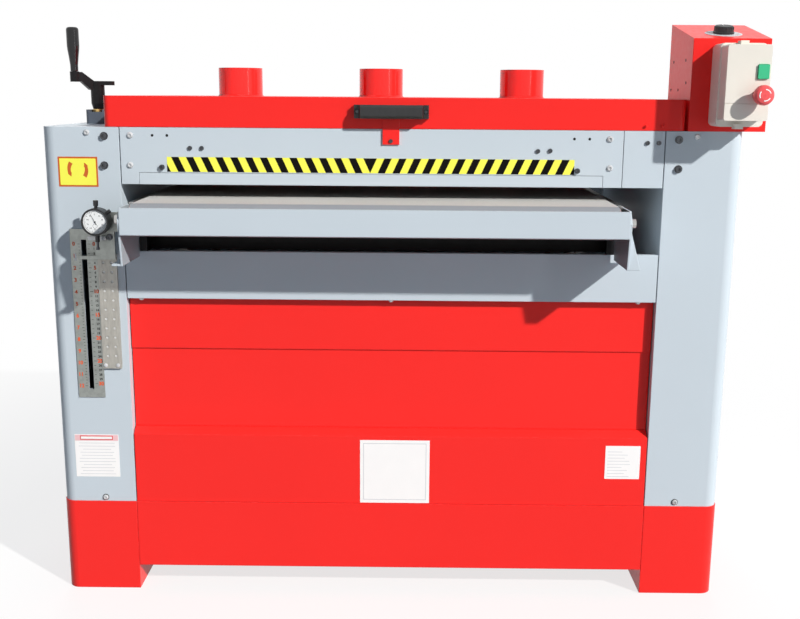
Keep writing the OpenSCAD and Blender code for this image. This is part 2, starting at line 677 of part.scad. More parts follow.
module hood_handle() color(dark) translate([-1, -hd - 0.5, handle_z]) difference() {
    linear_extrude(handle_h) difference() {
        polygon([[-75, 0], [-75, -13], [-66, -13], [-62, -handle_out], [62, -handle_out], [66, -13],
            [75, -13], [75, 0]]);
        translate([-44, -grip_back]) square([88, 30]);
        translate([-50, 6 - grip_back]) square([100, 30]);
        for (s = [-1, 1]) translate([s * 44, 6 - grip_back]) circle(6);
    }
    for (s = [-1, 1]) rod_y(s * 69.5, -20, -5, handle_h / 2, 4.5);
    along_x(-80, 80) {
        polygon([[-handle_out - 1, -1], [6 - handle_out, -1], [-handle_out - 1, 6]]);
        polygon([[-handle_out - 1, handle_h + 1], [6 - handle_out, handle_h + 1],
            [-handle_out - 1, handle_h - 6]]);
    }
}
module hinge_part(x0, x1, tab) along_x(x0, x1) {
    translate([hinge_y, hinge_z]) circle(6);
    translate([hd, tab > 0 ? hinge_z : hinge_z - 22]) square([2.5, 22]);
    translate([hd, hinge_z - 2]) square([7.5, 4]);
}
module hinge_at() for (s = [-1, 1]) translate([s * hinge_x, 0, 0]) children();
module hood_hinge_leaves() color(steel) hinge_at() {
    for (s = [-1, 1]) hinge_part(s * 20 - 9.7, s * 20 + 9.7, -1);
    box(-29.7, 29.7, hd, hd + 2.5, hinge_z - 40, hinge_z - 12);
    rod_x(-29.7, 29.7, hinge_y, hinge_z, 3);
}
module hood_hinge_knuckles() color(steel) hinge_at() difference() {
    union() {
        along_x(-10, 10) {
            translate([hinge_y, hinge_z]) circle(6);
            translate([hood_y, hinge_z - 1]) square([2.5, 20]);
            translate([hood_y, hinge_z - 1]) square([8, 4]);
        }
        box(-29.7, 29.7, hood_y, hood_y + 2.5, hinge_z + 7, hinge_z + 34);
    }
    rod_x(-12, 12, hinge_y, hinge_z, 3 + run);
}

// console with switch box, buttons and speed knob
module console_side(e) polygon([[con_y + e, top_z + e], [con_y + console_d - e, top_z + e],
    [con_y + console_d - e, top_z + console_h + console_rise - e], [con_y + e, top_z + console_h - e]]);
module control_console() color(red) difference() {
    along_x(console_x, console_x + console_w) console_side(0);
    along_x(console_x + 2, console_x + console_w - 2) console_side(2);
    box(console_x + 20, console_x + console_w - 50, con_y + 30, con_y + console_d - 30, top_z - 1, top_z + 5);
    translate([knob_x, con_y, top_z + console_h]) rotate([slope, 0, 0]) translate([0, knob_s, -8])
        cylinder(h = 16, r = 3 + run);
}
module switch_housing() color(cream) along_y(con_y - 46, con_y) difference() {
    translate([sw_x, sw_z]) round_rect(sw_w, sw_h, 10);
    translate([sw_x, sw_z]) round_rect(sw_w - 8, sw_h - 8, 7);
}
module switch_cover() color(cream) difference() {
    union() {
        along_y(con_y - 52, con_y - 46) translate([sw_x, sw_z]) round_rect(sw_w, sw_h, 10);
        along_y(face_y, con_y - 50) translate([sw_x - 2, sw_z + 4]) round_rect(sw_w - 8, sw_h - 17, 5);
        for (z = [sw_z - sw_h / 2 + 1, sw_z + sw_h / 2 - 1])
            box(sw_x - 12, sw_x + 4, con_y - 66, con_y - 46, z - 5, z + 5);
    }
    along_y(face_y + 3, con_y - 45) translate([sw_x - 2, sw_z + 4]) round_rect(sw_w - 14, sw_h - 23, 3);
    along_y(face_y - 1, face_y + 4) translate([start_x, start_z]) round_rect(22, 28, 2.4);
    rod_y(stop_x, face_y - 1, face_y + 4, stop_z, 13);
    box(sw_x - 50, sw_x + 50, face_y - 1, face_y + 0.8, sw_z - 35.5, sw_z - 34.3);
}
module start_button() color([0.1, 0.6, 0.4]) along_y(face_y - 4, face_y + 12) translate([start_x, start_z])
    round_rect(21, 27, 2);
module stop_button() color([0.85, 0.15, 0.15]) {
    translate([stop_x, face_y, stop_z]) rotate([90, 0, 0]) rotate_extrude() polygon([[0, -14], [12.5, -14],
        [12.5, 14], [17, 17], [19, 21], [19, 27], [18, 31], [15, 33.5], [8, 35], [0, 35]]);
}
module speed_knob() color(dark) translate([knob_x, con_y, top_z + console_h]) rotate([slope, 0, 0])
    translate([0, knob_s, 1.2]) rotate_extrude() polygon([[0, -12], [3, -12], [3, 0], [knob_d / 2, 0],
        [knob_d / 2, 3], [knob_d / 2 - 1.5, 4.5], [knob_d / 2 - 2.5, 13.5], [knob_d / 2 - 4, 15], [0, 15]]);

// visible screw heads on the column and beam fronts
module head(x, z, r, h) rod_y(x, -hd - h, -hd, z, r);
module frame_screws() color(dark) {
    for (s = [-1, 1]) for (d = [17, 76]) head(s * (in_x + 29), top_z - d, 6.5, 5);
    for (s = [-1, 1]) head(s * (in_x + 64), top_z - 11, 4.5, 3);
    for (s = [-1, 1]) head(s * (in_x + 65), base_h + 9, 4.5, 3);
    for (x = [-in_x + 22, beam_x1 - 27], d = [16, 75]) head(x, top_z - d, 4.5, 3);
    for (x = [guard_x0 + 48, guard_x1 - 53]) head(x, beam_z + 35, 6, 5);
    for (x = [in_x - 37, in_x - 14]) head(x, top_z - 24, 4, 2.5);
}

module place() translate([-x_mid, 0, 0]) children();
place() base_frame();
place() column_left();
place() column_right();
place() side_plate_left();
place() side_plate_right();
place() front_beam();
place() beam_end_cover();
place() infeed_guard();
place() rear_panels();
place() front_panel_lower();
place() front_panel_upper();
place() lift_chassis();
place() lift_chain();
place() crank_block();
place() control_console();
place() switch_housing();
place() switch_cover();
place() drum_bearings();
place() main_motor();
place() drive_belts();
place() scale_plate();
place() hole_plate();
place() hood_hinge_leaves();
place() frame_screws();
place() hood_shell();
place() dust_ports();
place() hood_handle();
place() hood_hinge_knuckles();
place() crank_shaft();
place() crank_arm();
place() crank_grip();
place() lift_nut_front_left();
place() lift_nut_front_right();
place() lift_nut_rear_left();
place() lift_nut_rear_right();
place() table_frame();
place() jack_screws();
place() aprons();
place() conveyor_bed();
place() conveyor_sides();
place() conveyor_covers();
place() conveyor_belt();
place() roller_bearings();
place() feed_motor();
place() gauge_bracket();
place() dial_gauge();
place() dial_spindle();
place() idler_roller();
place() drive_roller();
place() drum_front();
place() drum_rear();
place() motor_pulley();
place() pressure_brackets_front();
place() pressure_brackets_rear();
place() pressure_roller_front();
place() pressure_roller_rear();
place() start_button();
place() stop_button();
place() speed_knob();
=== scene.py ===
"""Looks of the drum sander: finishes, small fasteners, plates, scales, camera, light and floor."""

import json
import math

import bmesh
import bpy
from mathutils import Matrix, Vector


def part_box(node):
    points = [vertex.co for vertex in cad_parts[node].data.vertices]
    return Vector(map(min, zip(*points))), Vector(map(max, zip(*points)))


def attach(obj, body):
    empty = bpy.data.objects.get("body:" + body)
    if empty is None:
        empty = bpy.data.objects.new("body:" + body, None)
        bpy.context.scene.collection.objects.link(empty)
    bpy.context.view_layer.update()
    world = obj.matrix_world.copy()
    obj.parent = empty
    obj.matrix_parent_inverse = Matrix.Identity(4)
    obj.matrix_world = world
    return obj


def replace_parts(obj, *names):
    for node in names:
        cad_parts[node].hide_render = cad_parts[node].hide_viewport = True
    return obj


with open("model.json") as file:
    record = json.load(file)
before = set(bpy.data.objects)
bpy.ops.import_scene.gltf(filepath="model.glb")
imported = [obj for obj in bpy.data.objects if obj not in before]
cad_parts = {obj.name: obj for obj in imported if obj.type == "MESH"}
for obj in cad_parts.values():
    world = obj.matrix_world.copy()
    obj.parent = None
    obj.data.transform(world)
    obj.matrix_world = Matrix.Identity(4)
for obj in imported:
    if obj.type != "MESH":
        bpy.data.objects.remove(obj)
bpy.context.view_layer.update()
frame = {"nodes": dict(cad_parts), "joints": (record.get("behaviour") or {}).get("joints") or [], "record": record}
scene = bpy.context.scene

MM = 0.001

# Planes and boxes, all from the CAD nodes
MID = (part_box("column_left")[0].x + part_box("column_right")[1].x) / 2
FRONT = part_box("column_left")[0].y
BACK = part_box("column_left")[1].y
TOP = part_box("column_left")[1].z
HOOD_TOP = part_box("dust_ports")[0].z
PANEL_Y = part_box("front_panel_lower")[0].y
PLINTH_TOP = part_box("front_panel_lower")[0].z / MM
PANEL_BACK = -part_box("front_panel_upper")[0].y
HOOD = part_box("hood_shell")
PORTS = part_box("dust_ports")
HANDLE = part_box("hood_handle")
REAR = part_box("rear_panels")
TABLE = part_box("conveyor_sides")
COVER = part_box("conveyor_covers")
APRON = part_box("aprons")
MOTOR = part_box("feed_motor")
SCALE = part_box("scale_plate")
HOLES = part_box("hole_plate")
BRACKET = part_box("gauge_bracket")
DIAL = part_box("dial_gauge")
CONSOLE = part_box("control_console")
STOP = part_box("stop_button")
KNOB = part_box("speed_knob")

# Directions
AHEAD = (0, -1, 0)
BEHIND = (0, 1, 0)
LEFT = (-1, 0, 0)
RIGHT = (1, 0, 0)
UP = (0, 0, 1)
DOWN = (0, 0, -1)


# Colours and finishes


def rgb(r, g, b):
    """An sRGB colour, 0 to 255, as linear light."""
    shares = [v / 255 for v in (r, g, b)]
    return tuple(s / 12.92 if s <= 0.04045 else ((s + 0.055) / 1.055) ** 2.4 for s in shares)


class Finish:
    """One procedural material, in object coordinates, built up a layer at a time."""

    def __init__(self, name, colour, rough, metal=0.0):
        self.mat = bpy.data.materials.new(name)
        self.mat.use_nodes = True
        self.tree = self.mat.node_tree
        self.bsdf = self.tree.nodes["Principled BSDF"]
        self.set("Base Color", (*colour, 1))
        self.set("Roughness", rough)
        self.set("Metallic", metal)
        self.coords = self.add("ShaderNodeTexCoord").outputs["Object"]
        self.base = colour
        self.normal = None

    def set(self, socket, value):
        """Sets a plain value on the surface, or links an output to it."""
        self.plug(value, self.bsdf.inputs[socket])

    def plug(self, value, socket):
        if isinstance(value, bpy.types.NodeSocket):
            self.tree.links.new(value, socket)
        else:
            socket.default_value = value

    def add(self, kind, inputs=None, **settings):
        """A new node, with its settings, and with plain values or outputs on its inputs."""
        node = self.tree.nodes.new(kind)
        for key, value in settings.items():
            setattr(node, key, value)
        for key, value in (inputs or {}).items():
            self.plug(value, node.inputs[key])
        return node

    def stretched(self, stretch):
        return self.add("ShaderNodeMapping", {"Vector": self.coords, "Scale": stretch}).outputs["Vector"]

    def noise(self, scale, detail=2.0, stretch=(1, 1, 1)):
        inputs = {"Vector": self.stretched(stretch), "Scale": scale, "Detail": detail}
        return self.add("ShaderNodeTexNoise", inputs).outputs["Fac"]

    def cells(self, scale):
        inputs = {"Vector": self.stretched((1, 1, 1)), "Scale": scale}
        return self.add("ShaderNodeTexVoronoi", inputs, feature="F1").outputs

    def spread(self, value, low, high, start=0.3, end=0.7):
        """Moves the values from start to end to the values from low to high."""
        inputs = {"Value": value, "From Min": start, "From Max": end, "To Min": low, "To Max": high}
        return self.add("ShaderNodeMapRange", inputs).outputs["Result"]

    def calc(self, kind, a, b=0.0):
        return self.add("ShaderNodeMath", {0: a, 1: b}, operation=kind).outputs["Value"]

    def parts(self, vector):
        """The X, Y and Z of a vector, by name."""
        return self.add("ShaderNodeSeparateXYZ", {"Vector": vector}).outputs

    def surface_normal(self):
        return self.add("ShaderNodeNewGeometry").outputs["Normal"]

    def between(self, axis, low, high):
        """A mask that is 1 where the place along an axis lies between two values."""
        place = self.parts(self.coords)[axis]
        above = self.calc("GREATER_THAN", place, low)
        return self.calc("MULTIPLY", above, self.calc("LESS_THAN", place, high))

    def tint(self, mask, colour):
        """Turns the base colour to this one where the mask is 1."""
        below = self.bsdf.inputs["Base Color"]
        under = below.links[0].from_socket if below.is_linked else tuple(below.default_value)
        mix = self.add("ShaderNodeMix", {0: mask, 6: under, 7: (*colour, 1)}, data_type="RGBA")
        self.set("Base Color", mix.outputs[2])

    def vary(self, mask, share):
        """Darkens the base colour by up to a share of itself."""
        self.tint(mask, tuple(c * (1 - share) for c in self.base))

    def rounded(self, radius):
        """Soft edges, and a mask that is 1 along them."""
        self.normal = self.add("ShaderNodeBevel", {"Radius": radius}, samples=4).outputs["Normal"]
        self.set("Normal", self.normal)
        inputs = {0: self.normal, 1: self.surface_normal()}
        turn = self.add("ShaderNodeVectorMath", inputs, operation="DOT_PRODUCT").outputs["Value"]
        return self.spread(turn, 1.0, 0.0, start=0.72, end=0.97)

    def bump(self, height, depth, strength):
        inputs = {"Height": height, "Distance": depth, "Strength": strength}
        if self.normal is not None:
            inputs["Normal"] = self.normal
        self.normal = self.add("ShaderNodeBump", inputs).outputs["Normal"]
        self.set("Normal", self.normal)


def painted(name, colour, rough, coat, coat_rough=0.12):
    """Sprayed enamel: slight orange peel, uneven gloss, edges a little pale, partly as wear and partly as a
    painted highlight along them.
    """
    f = Finish(name, colour, rough)
    f.set("Specular IOR Level", 0.18)
    f.vary(f.spread(f.noise(scale=3, detail=3), 0, 1), share=0.03)
    f.set("Roughness", f.spread(f.noise(scale=90, detail=3), rough - 0.03, rough + 0.04))
    # Edges go pale: partly wear, partly a painted highlight where light catches the edge.
    edge = f.rounded(2.0 * MM)
    wear = f.spread(f.noise(scale=90, detail=3), 0.0, 0.45, start=0.45, end=0.75)
    pale_wear_and_highlight = tuple(min(1, c * 0.75 + 0.25) for c in colour)
    f.tint(f.calc("MULTIPLY", edge, wear), pale_wear_and_highlight)
    f.bump(f.noise(scale=420, detail=1), depth=0.05 * MM, strength=0.5)
    f.set("Coat Weight", coat)
    f.set("Coat Roughness", coat_rough)
    return f


def bright_steel(name, colour, rough, stretch, metal=1.0, brass=None):
    """Ground or rolled steel with fine lines. Brass is an axis and the two values that bound a collar."""
    f = Finish(name, colour, rough, metal)
    lines = f.noise(scale=60, detail=4, stretch=stretch)
    f.vary(f.spread(lines, 0, 1), share=0.18)
    if brass:
        f.tint(f.between(*brass), rgb(226, 190, 120))
    f.set("Roughness", f.spread(lines, rough - 0.07, rough + 0.1))
    f.rounded(0.5 * MM)
    f.bump(lines, depth=0.02 * MM, strength=0.4)
    return f.mat


def galvanised(name, colour, rough):
    """Zinc-coated sheet with faint crystals and handling marks."""
    f = Finish(name, colour, rough, metal=0.75)
    crystals = f.add("ShaderNodeSeparateColor", {"Color": f.cells(scale=140)["Color"]}).outputs["Red"]
    f.vary(f.spread(crystals, 0, 1, start=0, end=1), share=0.16)
    marks = f.noise(scale=30, detail=4, stretch=(1, 1, 6))
    f.set("Roughness", f.spread(marks, rough - 0.08, rough + 0.1))
    f.rounded(0.5 * MM)
    f.bump(marks, depth=0.02 * MM, strength=0.4)
    return f.mat


def blackened(name, colour, rough, metal):
    """Black oxide or black paint on steel, rubbed bright at the edges."""
    f = Finish(name, colour, rough, metal)
    f.set("Specular IOR Level", 0.25)
    f.set("Roughness", f.spread(f.noise(scale=70, detail=3), rough - 0.08, rough + 0.12))
    edge = f.rounded(0.7 * MM)
    wear = f.spread(f.noise(scale=160, detail=3), 0.0, 0.5, start=0.45, end=0.7)
    f.tint(f.calc("MULTIPLY", edge, wear), (0.3, 0.3, 0.3))
    f.bump(f.noise(scale=600), depth=0.03 * MM, strength=0.5)
    return f.mat


def moulded(name, colour, rough, grain=0.03 * MM, rib_pitch=None):
    """Injection-moulded plastic with a fine grain, and with ribs across X if a pitch is given."""
    f = Finish(name, colour, rough)
    f.vary(f.spread(f.noise(scale=14), 0, 1), share=0.05)
    f.set("Roughness", f.spread(f.noise(scale=55, detail=3), rough - 0.06, rough + 0.08))
    f.rounded(1.0 * MM)
    f.bump(f.noise(scale=1500), depth=grain, strength=0.5)
    if rib_pitch:
        turn = f.calc("MULTIPLY", f.parts(f.coords)["X"], 2 * math.pi / rib_pitch)
        f.bump(f.calc("SINE", turn), depth=0.3 * MM, strength=0.6)
    return f.mat


def cast(name, colour):
    """Cast iron under dull paint."""
    f = Finish(name, colour, rough=0.5)
    f.vary(f.spread(f.noise(scale=9, detail=4), 0, 1), share=0.15)
    f.set("Roughness", f.spread(f.noise(scale=40, detail=3), 0.42, 0.62))
    f.rounded(1.5 * MM)
    f.bump(f.noise(scale=260, detail=4), depth=0.25 * MM, strength=0.6)
    return f.mat


def feed_cloth(name, colour, turn_shade_colour):
    """Rough-top conveyor belt: a coarse grain with dust in it, and painted shade where it turns over a roller."""
    f = Finish(name, colour, rough=0.85)
    f.vary(f.spread(f.noise(scale=4, detail=4), 0, 1), share=0.12)
    f.vary(f.spread(f.noise(scale=700), 0, 0.8), share=0.3)
    # Painted shade: where the surface faces forward, over the roller, the colour goes to the shade colour.
    slope = f.calc("ABSOLUTE", f.parts(f.surface_normal())["Y"])
    f.tint(f.spread(slope, 0, 1, start=0.06, end=0.2), turn_shade_colour)
    f.set("Roughness", f.spread(f.noise(scale=60), 0.78, 0.95))
    f.bump(f.cells(scale=430)["Distance"], depth=0.6 * MM, strength=0.5)
    return f.mat


DRUM_R = 75 * MM
WRAP_THICK = 1.6 * MM
WRAP_PITCH = 110 * MM


def abrasive_drum(name, node):
    """Abrasive wrapped in a spiral round a drum. Its ends, shaft and pulley are plain metal."""
    lo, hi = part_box(node)
    f = Finish(name, rgb(168, 170, 172), rough=0.35, metal=1.0)
    place = f.parts(f.coords)
    y = f.calc("SUBTRACT", place["Y"], (lo.y + hi.y) / 2)
    z = f.calc("SUBTRACT", place["Z"], (lo.z + hi.z) / 2)
    out = f.calc("SQRT", f.calc("ADD", f.calc("MULTIPLY", y, y), f.calc("MULTIPLY", z, z)))
    on_wrap = f.spread(out, 0, 1, start=DRUM_R - WRAP_THICK, end=DRUM_R - WRAP_THICK + 0.5 * MM)
    f.tint(on_wrap, rgb(124, 84, 62))
    turn = f.calc("DIVIDE", f.calc("ARCTAN2", y, z), 2 * math.pi)
    along = f.calc("DIVIDE", place["X"], WRAP_PITCH)
    seam = f.calc("FRACT", f.calc("ADD", turn, along))
    f.tint(f.calc("MULTIPLY", on_wrap, f.spread(seam, 1, 0, start=0.012, end=0.02)), rgb(60, 42, 34))
    f.set("Metallic", f.spread(on_wrap, 1, 0, start=0, end=1))
    f.set("Roughness", f.spread(on_wrap, 0.35, 0.9, start=0, end=1))
    f.bump(f.calc("MULTIPLY", f.noise(scale=1400), on_wrap), depth=0.4 * MM, strength=0.8)
    return f.mat


def film(name, colour, rough=0.4, shine=0.4, uneven=0.04):
    """Printed or plain plastic film."""
    f = Finish(name, colour, rough)
    f.set("Specular IOR Level", shine)
    f.vary(f.spread(f.noise(scale=25, detail=3), 0, 1), uneven)
    f.set("Roughness", f.spread(f.noise(scale=80), rough - 0.05, rough + 0.08))
    f.bump(f.noise(scale=220), depth=0.03 * MM, strength=0.4)
    return f.mat


RED = rgb(252, 46, 42)
GREY = rgb(202, 213, 221)
STEEL = rgb(196, 196, 194)

ALIKE = (1, 1, 1)
LINES_ALONG_X = (1, 6, 6)
LINES_ALONG_Z = (6, 6, 1)

# One finish for each material slot of the record
finish = {
    "red_paint": painted("red enamel", RED, rough=0.32, coat=0.05).mat,
    "grey_paint": painted("grey enamel", GREY, rough=0.4, coat=0.06).mat,
    "steel": bright_steel("bright steel", STEEL, 0.3, LINES_ALONG_X),
    "zinc_steel": galvanised("zinc sheet", rgb(160, 164, 160), rough=0.45),
    "black_steel": blackened("black oxide", rgb(24, 23, 24), rough=0.42, metal=0.15),
    "black_plastic": moulded("black plastic", rgb(30, 30, 32), rough=0.42),
    "cream_plastic": moulded("cream plastic", rgb(240, 235, 224), rough=0.38),
    "motor_paint": cast("cast grey", rgb(92, 96, 100)),
    "black_rubber": moulded("black rubber", rgb(28, 28, 28), rough=0.7, grain=0.06 * MM),
    # The belt's second colour is painted shade on its turn over the front roller.
    "belt_cloth": feed_cloth("belt cloth", rgb(213, 212, 209), rgb(148, 153, 159)),
    "green_plastic": moulded("green plastic", rgb(62, 196, 140), rough=0.35),
    "red_plastic": moulded("red plastic", rgb(246, 90, 92), rough=0.3),
}

# Finishes of single nodes and of the small pieces below
block_paint = painted("blue grey enamel", rgb(84, 92, 104), rough=0.35, coat=0.2).mat
port_paint = painted("port enamel", RED, rough=0.22, coat=0.35, coat_rough=0.05).mat
grip_black = moulded("polished black", rgb(16, 16, 19), rough=0.1, grain=0.0)
handle_black = moulded("ribbed black", rgb(34, 35, 36), rough=0.4, rib_pitch=2.4 * MM)
plate_steel = bright_steel("rolled plate", rgb(184, 181, 173), 0.42, LINES_ALONG_Z, metal=0.4)
screw_black = blackened("black screws", rgb(84, 86, 90), rough=0.28, metal=0.9)
screw_zinc = bright_steel("zinc screws", rgb(214, 216, 218), 0.3, ALIKE, metal=0.35)
# Near white as painted light: the bright glint in each hole of the hole plate.
stud_painted_light = bright_steel("hole floor, painted light", rgb(252, 252, 250), 0.25, ALIKE, metal=0.1)
# Dark discs of painted shade, standing in for the shade inside holes.
hole_painted_shade = moulded("holes, painted shade", rgb(22, 22, 22), rough=0.8)
white_film = film("white film", rgb(253, 252, 251), uneven=0.02)
yellow_film = film("yellow film", rgb(255, 253, 92))
orange_film = film("orange film", rgb(206, 100, 40))
black_film = film("black film", rgb(16, 14, 13), rough=0.5, shine=0.08)
red_film = film("red film", rgb(222, 84, 84))
pink_film = film("pink film", rgb(244, 200, 203))
grey_film = film("grey film", rgb(208, 210, 214))
# Dark red painted shade for the gap over the plinth.
seam_painted_shade = film("seam shade", rgb(196, 26, 24))
dial_white = film("dial white", rgb(244, 246, 246), rough=0.25)
ink_orange = film("orange ink", rgb(232, 92, 40), rough=0.5)
ink_black = film("black ink", rgb(34, 34, 34), rough=0.5)

COLLAR = ("Z", TOP + 26 * MM, TOP + 32.5 * MM)
shaft_steel = bright_steel("crank steel", STEEL, 0.3, LINES_ALONG_Z, brass=COLLAR)


def side_plate_paint():
    """Grey enamel with painted shade: darker on the inner faces of the table's side plates, darker still on the
    right one, and near black inside the machine.
    """
    f = painted("side plate enamel with painted shade", GREY, rough=0.4, coat=0.06)
    face_lap = 0.1 * MM
    edge_lap = 1.1 * MM
    body_lap = 2 * MM
    # Painted shade on the inner faces of the side plates, and near black on what lies inside the machine.
    f.tint(f.between("X", COVER[0].x - face_lap, MID), rgb(158, 167, 173))
    f.tint(f.between("X", MID, COVER[1].x + face_lap), rgb(126, 133, 138))
    across = f.between("X", COVER[0].x - edge_lap, COVER[1].x + edge_lap)
    along = f.between("Y", FRONT - body_lap, BACK + body_lap)
    f.tint(f.calc("MULTIPLY", across, along), rgb(26, 26, 28))
    return f.mat


def dress(node, mat):
    """Gives a CAD node one material."""
    node.data.materials.clear()
    node.data.materials.append(mat)


for part in frame["record"]["subparts"]:
    if part["material_slot"] in finish:
        dress(frame["nodes"][part["node"]], finish[part["material_slot"]])

special = {
    "conveyor_sides": side_plate_paint(),
    "crank_shaft": shaft_steel,
    "dust_ports": port_paint,
    "crank_grip": grip_black,
    "hood_handle": handle_black,
    "drum_front": abrasive_drum("front drum", "drum_front"),
    "drum_rear": abrasive_drum("rear drum", "drum_rear"),
    "crank_block": block_paint,
    "dial_spindle": screw_black,
    "hole_plate": plate_steel,
}
for name, mat in special.items():
    dress(frame["nodes"][name], mat)


# Mesh building

SHARP = math.radians(32)
HEX = 6


def piece(name, bm, mat, body, smooth=True):
    """An object made of a bmesh, which rides on a body."""
    bmesh.ops.recalc_face_normals(bm, faces=bm.faces)
    mesh = bpy.data.meshes.new(name)
    bm.to_mesh(mesh)
    bm.free()
    if smooth:
        mesh.polygons.foreach_set("use_smooth", [True] * len(mesh.polygons))
        mesh.set_sharp_from_angle(angle=SHARP)
    mesh.materials.append(mat)
    obj = bpy.data.objects.new(name, mesh)
    scene.collection.objects.link(obj)
    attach(obj, body)
    return obj


def axes(normal):
    """Two directions square to a normal, and the normal; for a front face, right and up."""
    n = Vector(normal).normalized()
    up = Vector(UP) if abs(n.z) < 0.9 else Vector(BEHIND)
    u = up.cross(n).normalized()
    return u, n.cross(u), n


def skin(bm, a, b, steps):
    """Faces between two rings, of which one may be a single point."""
    for i in range(steps):
        j = (i + 1) % steps
        if len(a) == 1:
            bm.faces.new((a[0], b[i], b[j]))
        elif len(b) == 1:
            bm.faces.new((a[i], a[j], b[0]))
        else:
            bm.faces.new((a[i], a[j], b[j], b[i]))


def lathe(bm, origin, normal, profile, steps=24):
    """Turns a profile of (radius, height) points in mm about a normal, and closes it.

    A third value in a point gives the number of flats that its ring has.
    """
    u, v, n = axes(normal)
    rings = []
    for radius, height, *flats in profile:
        centre = Vector(origin) + n * (height * MM)
        if radius == 0:
            rings.append([bm.verts.new(centre)])
            continue
        ring = []
        for i in range(steps):
            a = 2 * math.pi * i / steps
            r = radius * MM
            if flats:
                sector = 2 * math.pi / flats[0]
                r /= math.cos(a % sector - sector / 2)
            ring.append(bm.verts.new(centre + (u * math.cos(a) + v * math.sin(a)) * r))
        rings.append(ring)
    for a, b in zip(rings, rings[1:]):
        skin(bm, a, b, steps)
    first, last = rings[0], rings[-1]
    if len(first) > 1 and len(last) > 1:
        skin(bm, last, first, steps)
    elif len(first) > 1:
        bm.faces.new(first)


def dome(bm, origin, normal, r, h):
    """A plain round head."""
    profile = [(r, 0), (r, 0.2 * h), (0.94 * r, 0.5 * h), (0.75 * r, 0.8 * h), (0.4 * r, 0.96 * h), (0, h)]
    lathe(bm, origin, normal, profile)


def button(bm, origin, normal, r, h):
    """A low round head with a hexagon socket."""
    profile = [(r, 0), (r, 0.3 * h), (0.85 * r, 0.7 * h), (0.6 * r, h)]
    profile += [(0.42 * r, h, HEX), (0.4 * r, 0.4 * h, HEX), (0, 0.3 * h)]
    lathe(bm, origin, normal, profile)


def socket(bm, origin, normal, r, h, washer_r=None):
    """A cylinder head with a hexagon socket, on a washer if its radius is given."""
    foot = 0
    chamfer = 0.5
    profile = []
    if washer_r:
        foot = 1.2
        profile = [(washer_r, 0), (washer_r, 0.9), (r, 1.0)]
    profile += [(r, foot), (r, h - chamfer), (r - chamfer, h)]
    profile += [(0.5 * r, h, HEX), (0.47 * r, 0.35 * h, HEX), (0, 0.3 * h)]
    lathe(bm, origin, normal, profile)


def hex_head(bm, origin, normal, flats, h, washer_r):
    """A hexagon head, measured over its flats, on a washer."""
    half = flats / 2
    foot = 1.2
    chamfer = 0.6
    profile = [(washer_r, 0), (washer_r, foot)]
    profile += [(half, foot, HEX), (half, h - chamfer, HEX), (0.9 * half, h), (0, h)]
    lathe(bm, origin, normal, profile)


def slab(bm, points, origin, normal, low, high):
    """A flat outline of (right, up) points, as a plate between two heights over a face, all in mm."""
    u, v, n = axes(normal)
    rings = []
    for height in (low, high):
        foot = Vector(origin) + n * (height * MM)
        rings.append([bm.verts.new(foot + u * (p * MM) + v * (q * MM)) for p, q in points])
    bm.faces.new(rings[0])
    bm.faces.new(rings[1])
    skin(bm, rings[0], rings[1], len(points))


def rectangle(x0, x1, y0, y1):
    """The corners of a box."""
    return [(x0, y0), (x1, y0), (x1, y1), (x0, y1)]


def rounded_rect(x0, x1, y0, y1, r, steps=5):
    """The outline of a box with round corners."""
    corners = ((x1 - r, y1 - r), (x0 + r, y1 - r), (x0 + r, y0 + r), (x1 - r, y0 + r))
    out = []
    for quarter, (cx, cy) in enumerate(corners):
        for i in range(steps + 1):
            a = math.radians(90 * quarter + 90 * i / steps)
            out.append((cx + r * math.cos(a), cy + r * math.sin(a)))
    return out


def radial_mark(angle, inner, outer, half):
    """A thin mark that points out from a centre, as four corners."""
    c, s = math.cos(angle), math.sin(angle)
    return [(inner * c - half * s, inner * s + half * c), (inner * c + half * s, inner * s - half * c),
            (outer * c + half * s, outer * s - half * c), (outer * c - half * s, outer * s + half * c)]


def moved(points, to):
    """An outline shifted so that its origin is at a point."""
    return [(p + to[0], q + to[1]) for p, q in points]


def clipped(points, x0, x1):
    """A convex outline kept between two values of its first coordinate."""
    for limit, keep in ((x0, 1), (x1, -1)):
        kept = []
        for a, b in zip(points, points[1:] + points[:1]):
            a_inside = keep * (a[0] - limit) >= 0
            b_inside = keep * (b[0] - limit) >= 0
            if a_inside:
                kept.append(a)
            if a_inside != b_inside:
                t = (limit - a[0]) / (b[0] - a[0])
                kept.append((limit, a[1] + t * (b[1] - a[1])))
        points = kept
        if len(points) < 3:
            return []
    return points


def figures(bm, text, size, origin, thick, weight=0.0):
    """A plain number in the built-in font, as thin solid figures on a front face, sizes in mm."""
    curve = bpy.data.curves.new("figures", "FONT")
    curve.body = text
    curve.size = size * MM
    curve.align_x = "CENTER"
    curve.align_y = "CENTER"
    curve.extrude = thick * MM / 2
    curve.offset = weight * MM
    curve.resolution_u = 3
    obj = bpy.data.objects.new("figures", curve)
    scene.collection.objects.link(obj)
    bpy.context.view_layer.update()
    mesh = bpy.data.meshes.new_from_object(obj.evaluated_get(bpy.context.evaluated_depsgraph_get()))
    u, v, n = axes(AHEAD)
    place = Matrix((u, v, n)).transposed().to_4x4()
    place.translation = Vector(origin) + n * (thick * MM / 2)
    mesh.transform(place)
    bm.from_mesh(mesh)
    bpy.data.objects.remove(obj)
    bpy.data.curves.remove(curve)
    bpy.data.meshes.remove(mesh)


# Places are in mm: to the right of the middle between the columns, and above the floor

SKIN = 0.25
INK = 0.1


def at(x):
    """The frame's x of a place, in m."""
    return MID + x * MM


def front(x, z, y=FRONT):
    """A point on a front face, in m."""
    return (at(x), y, z * MM)


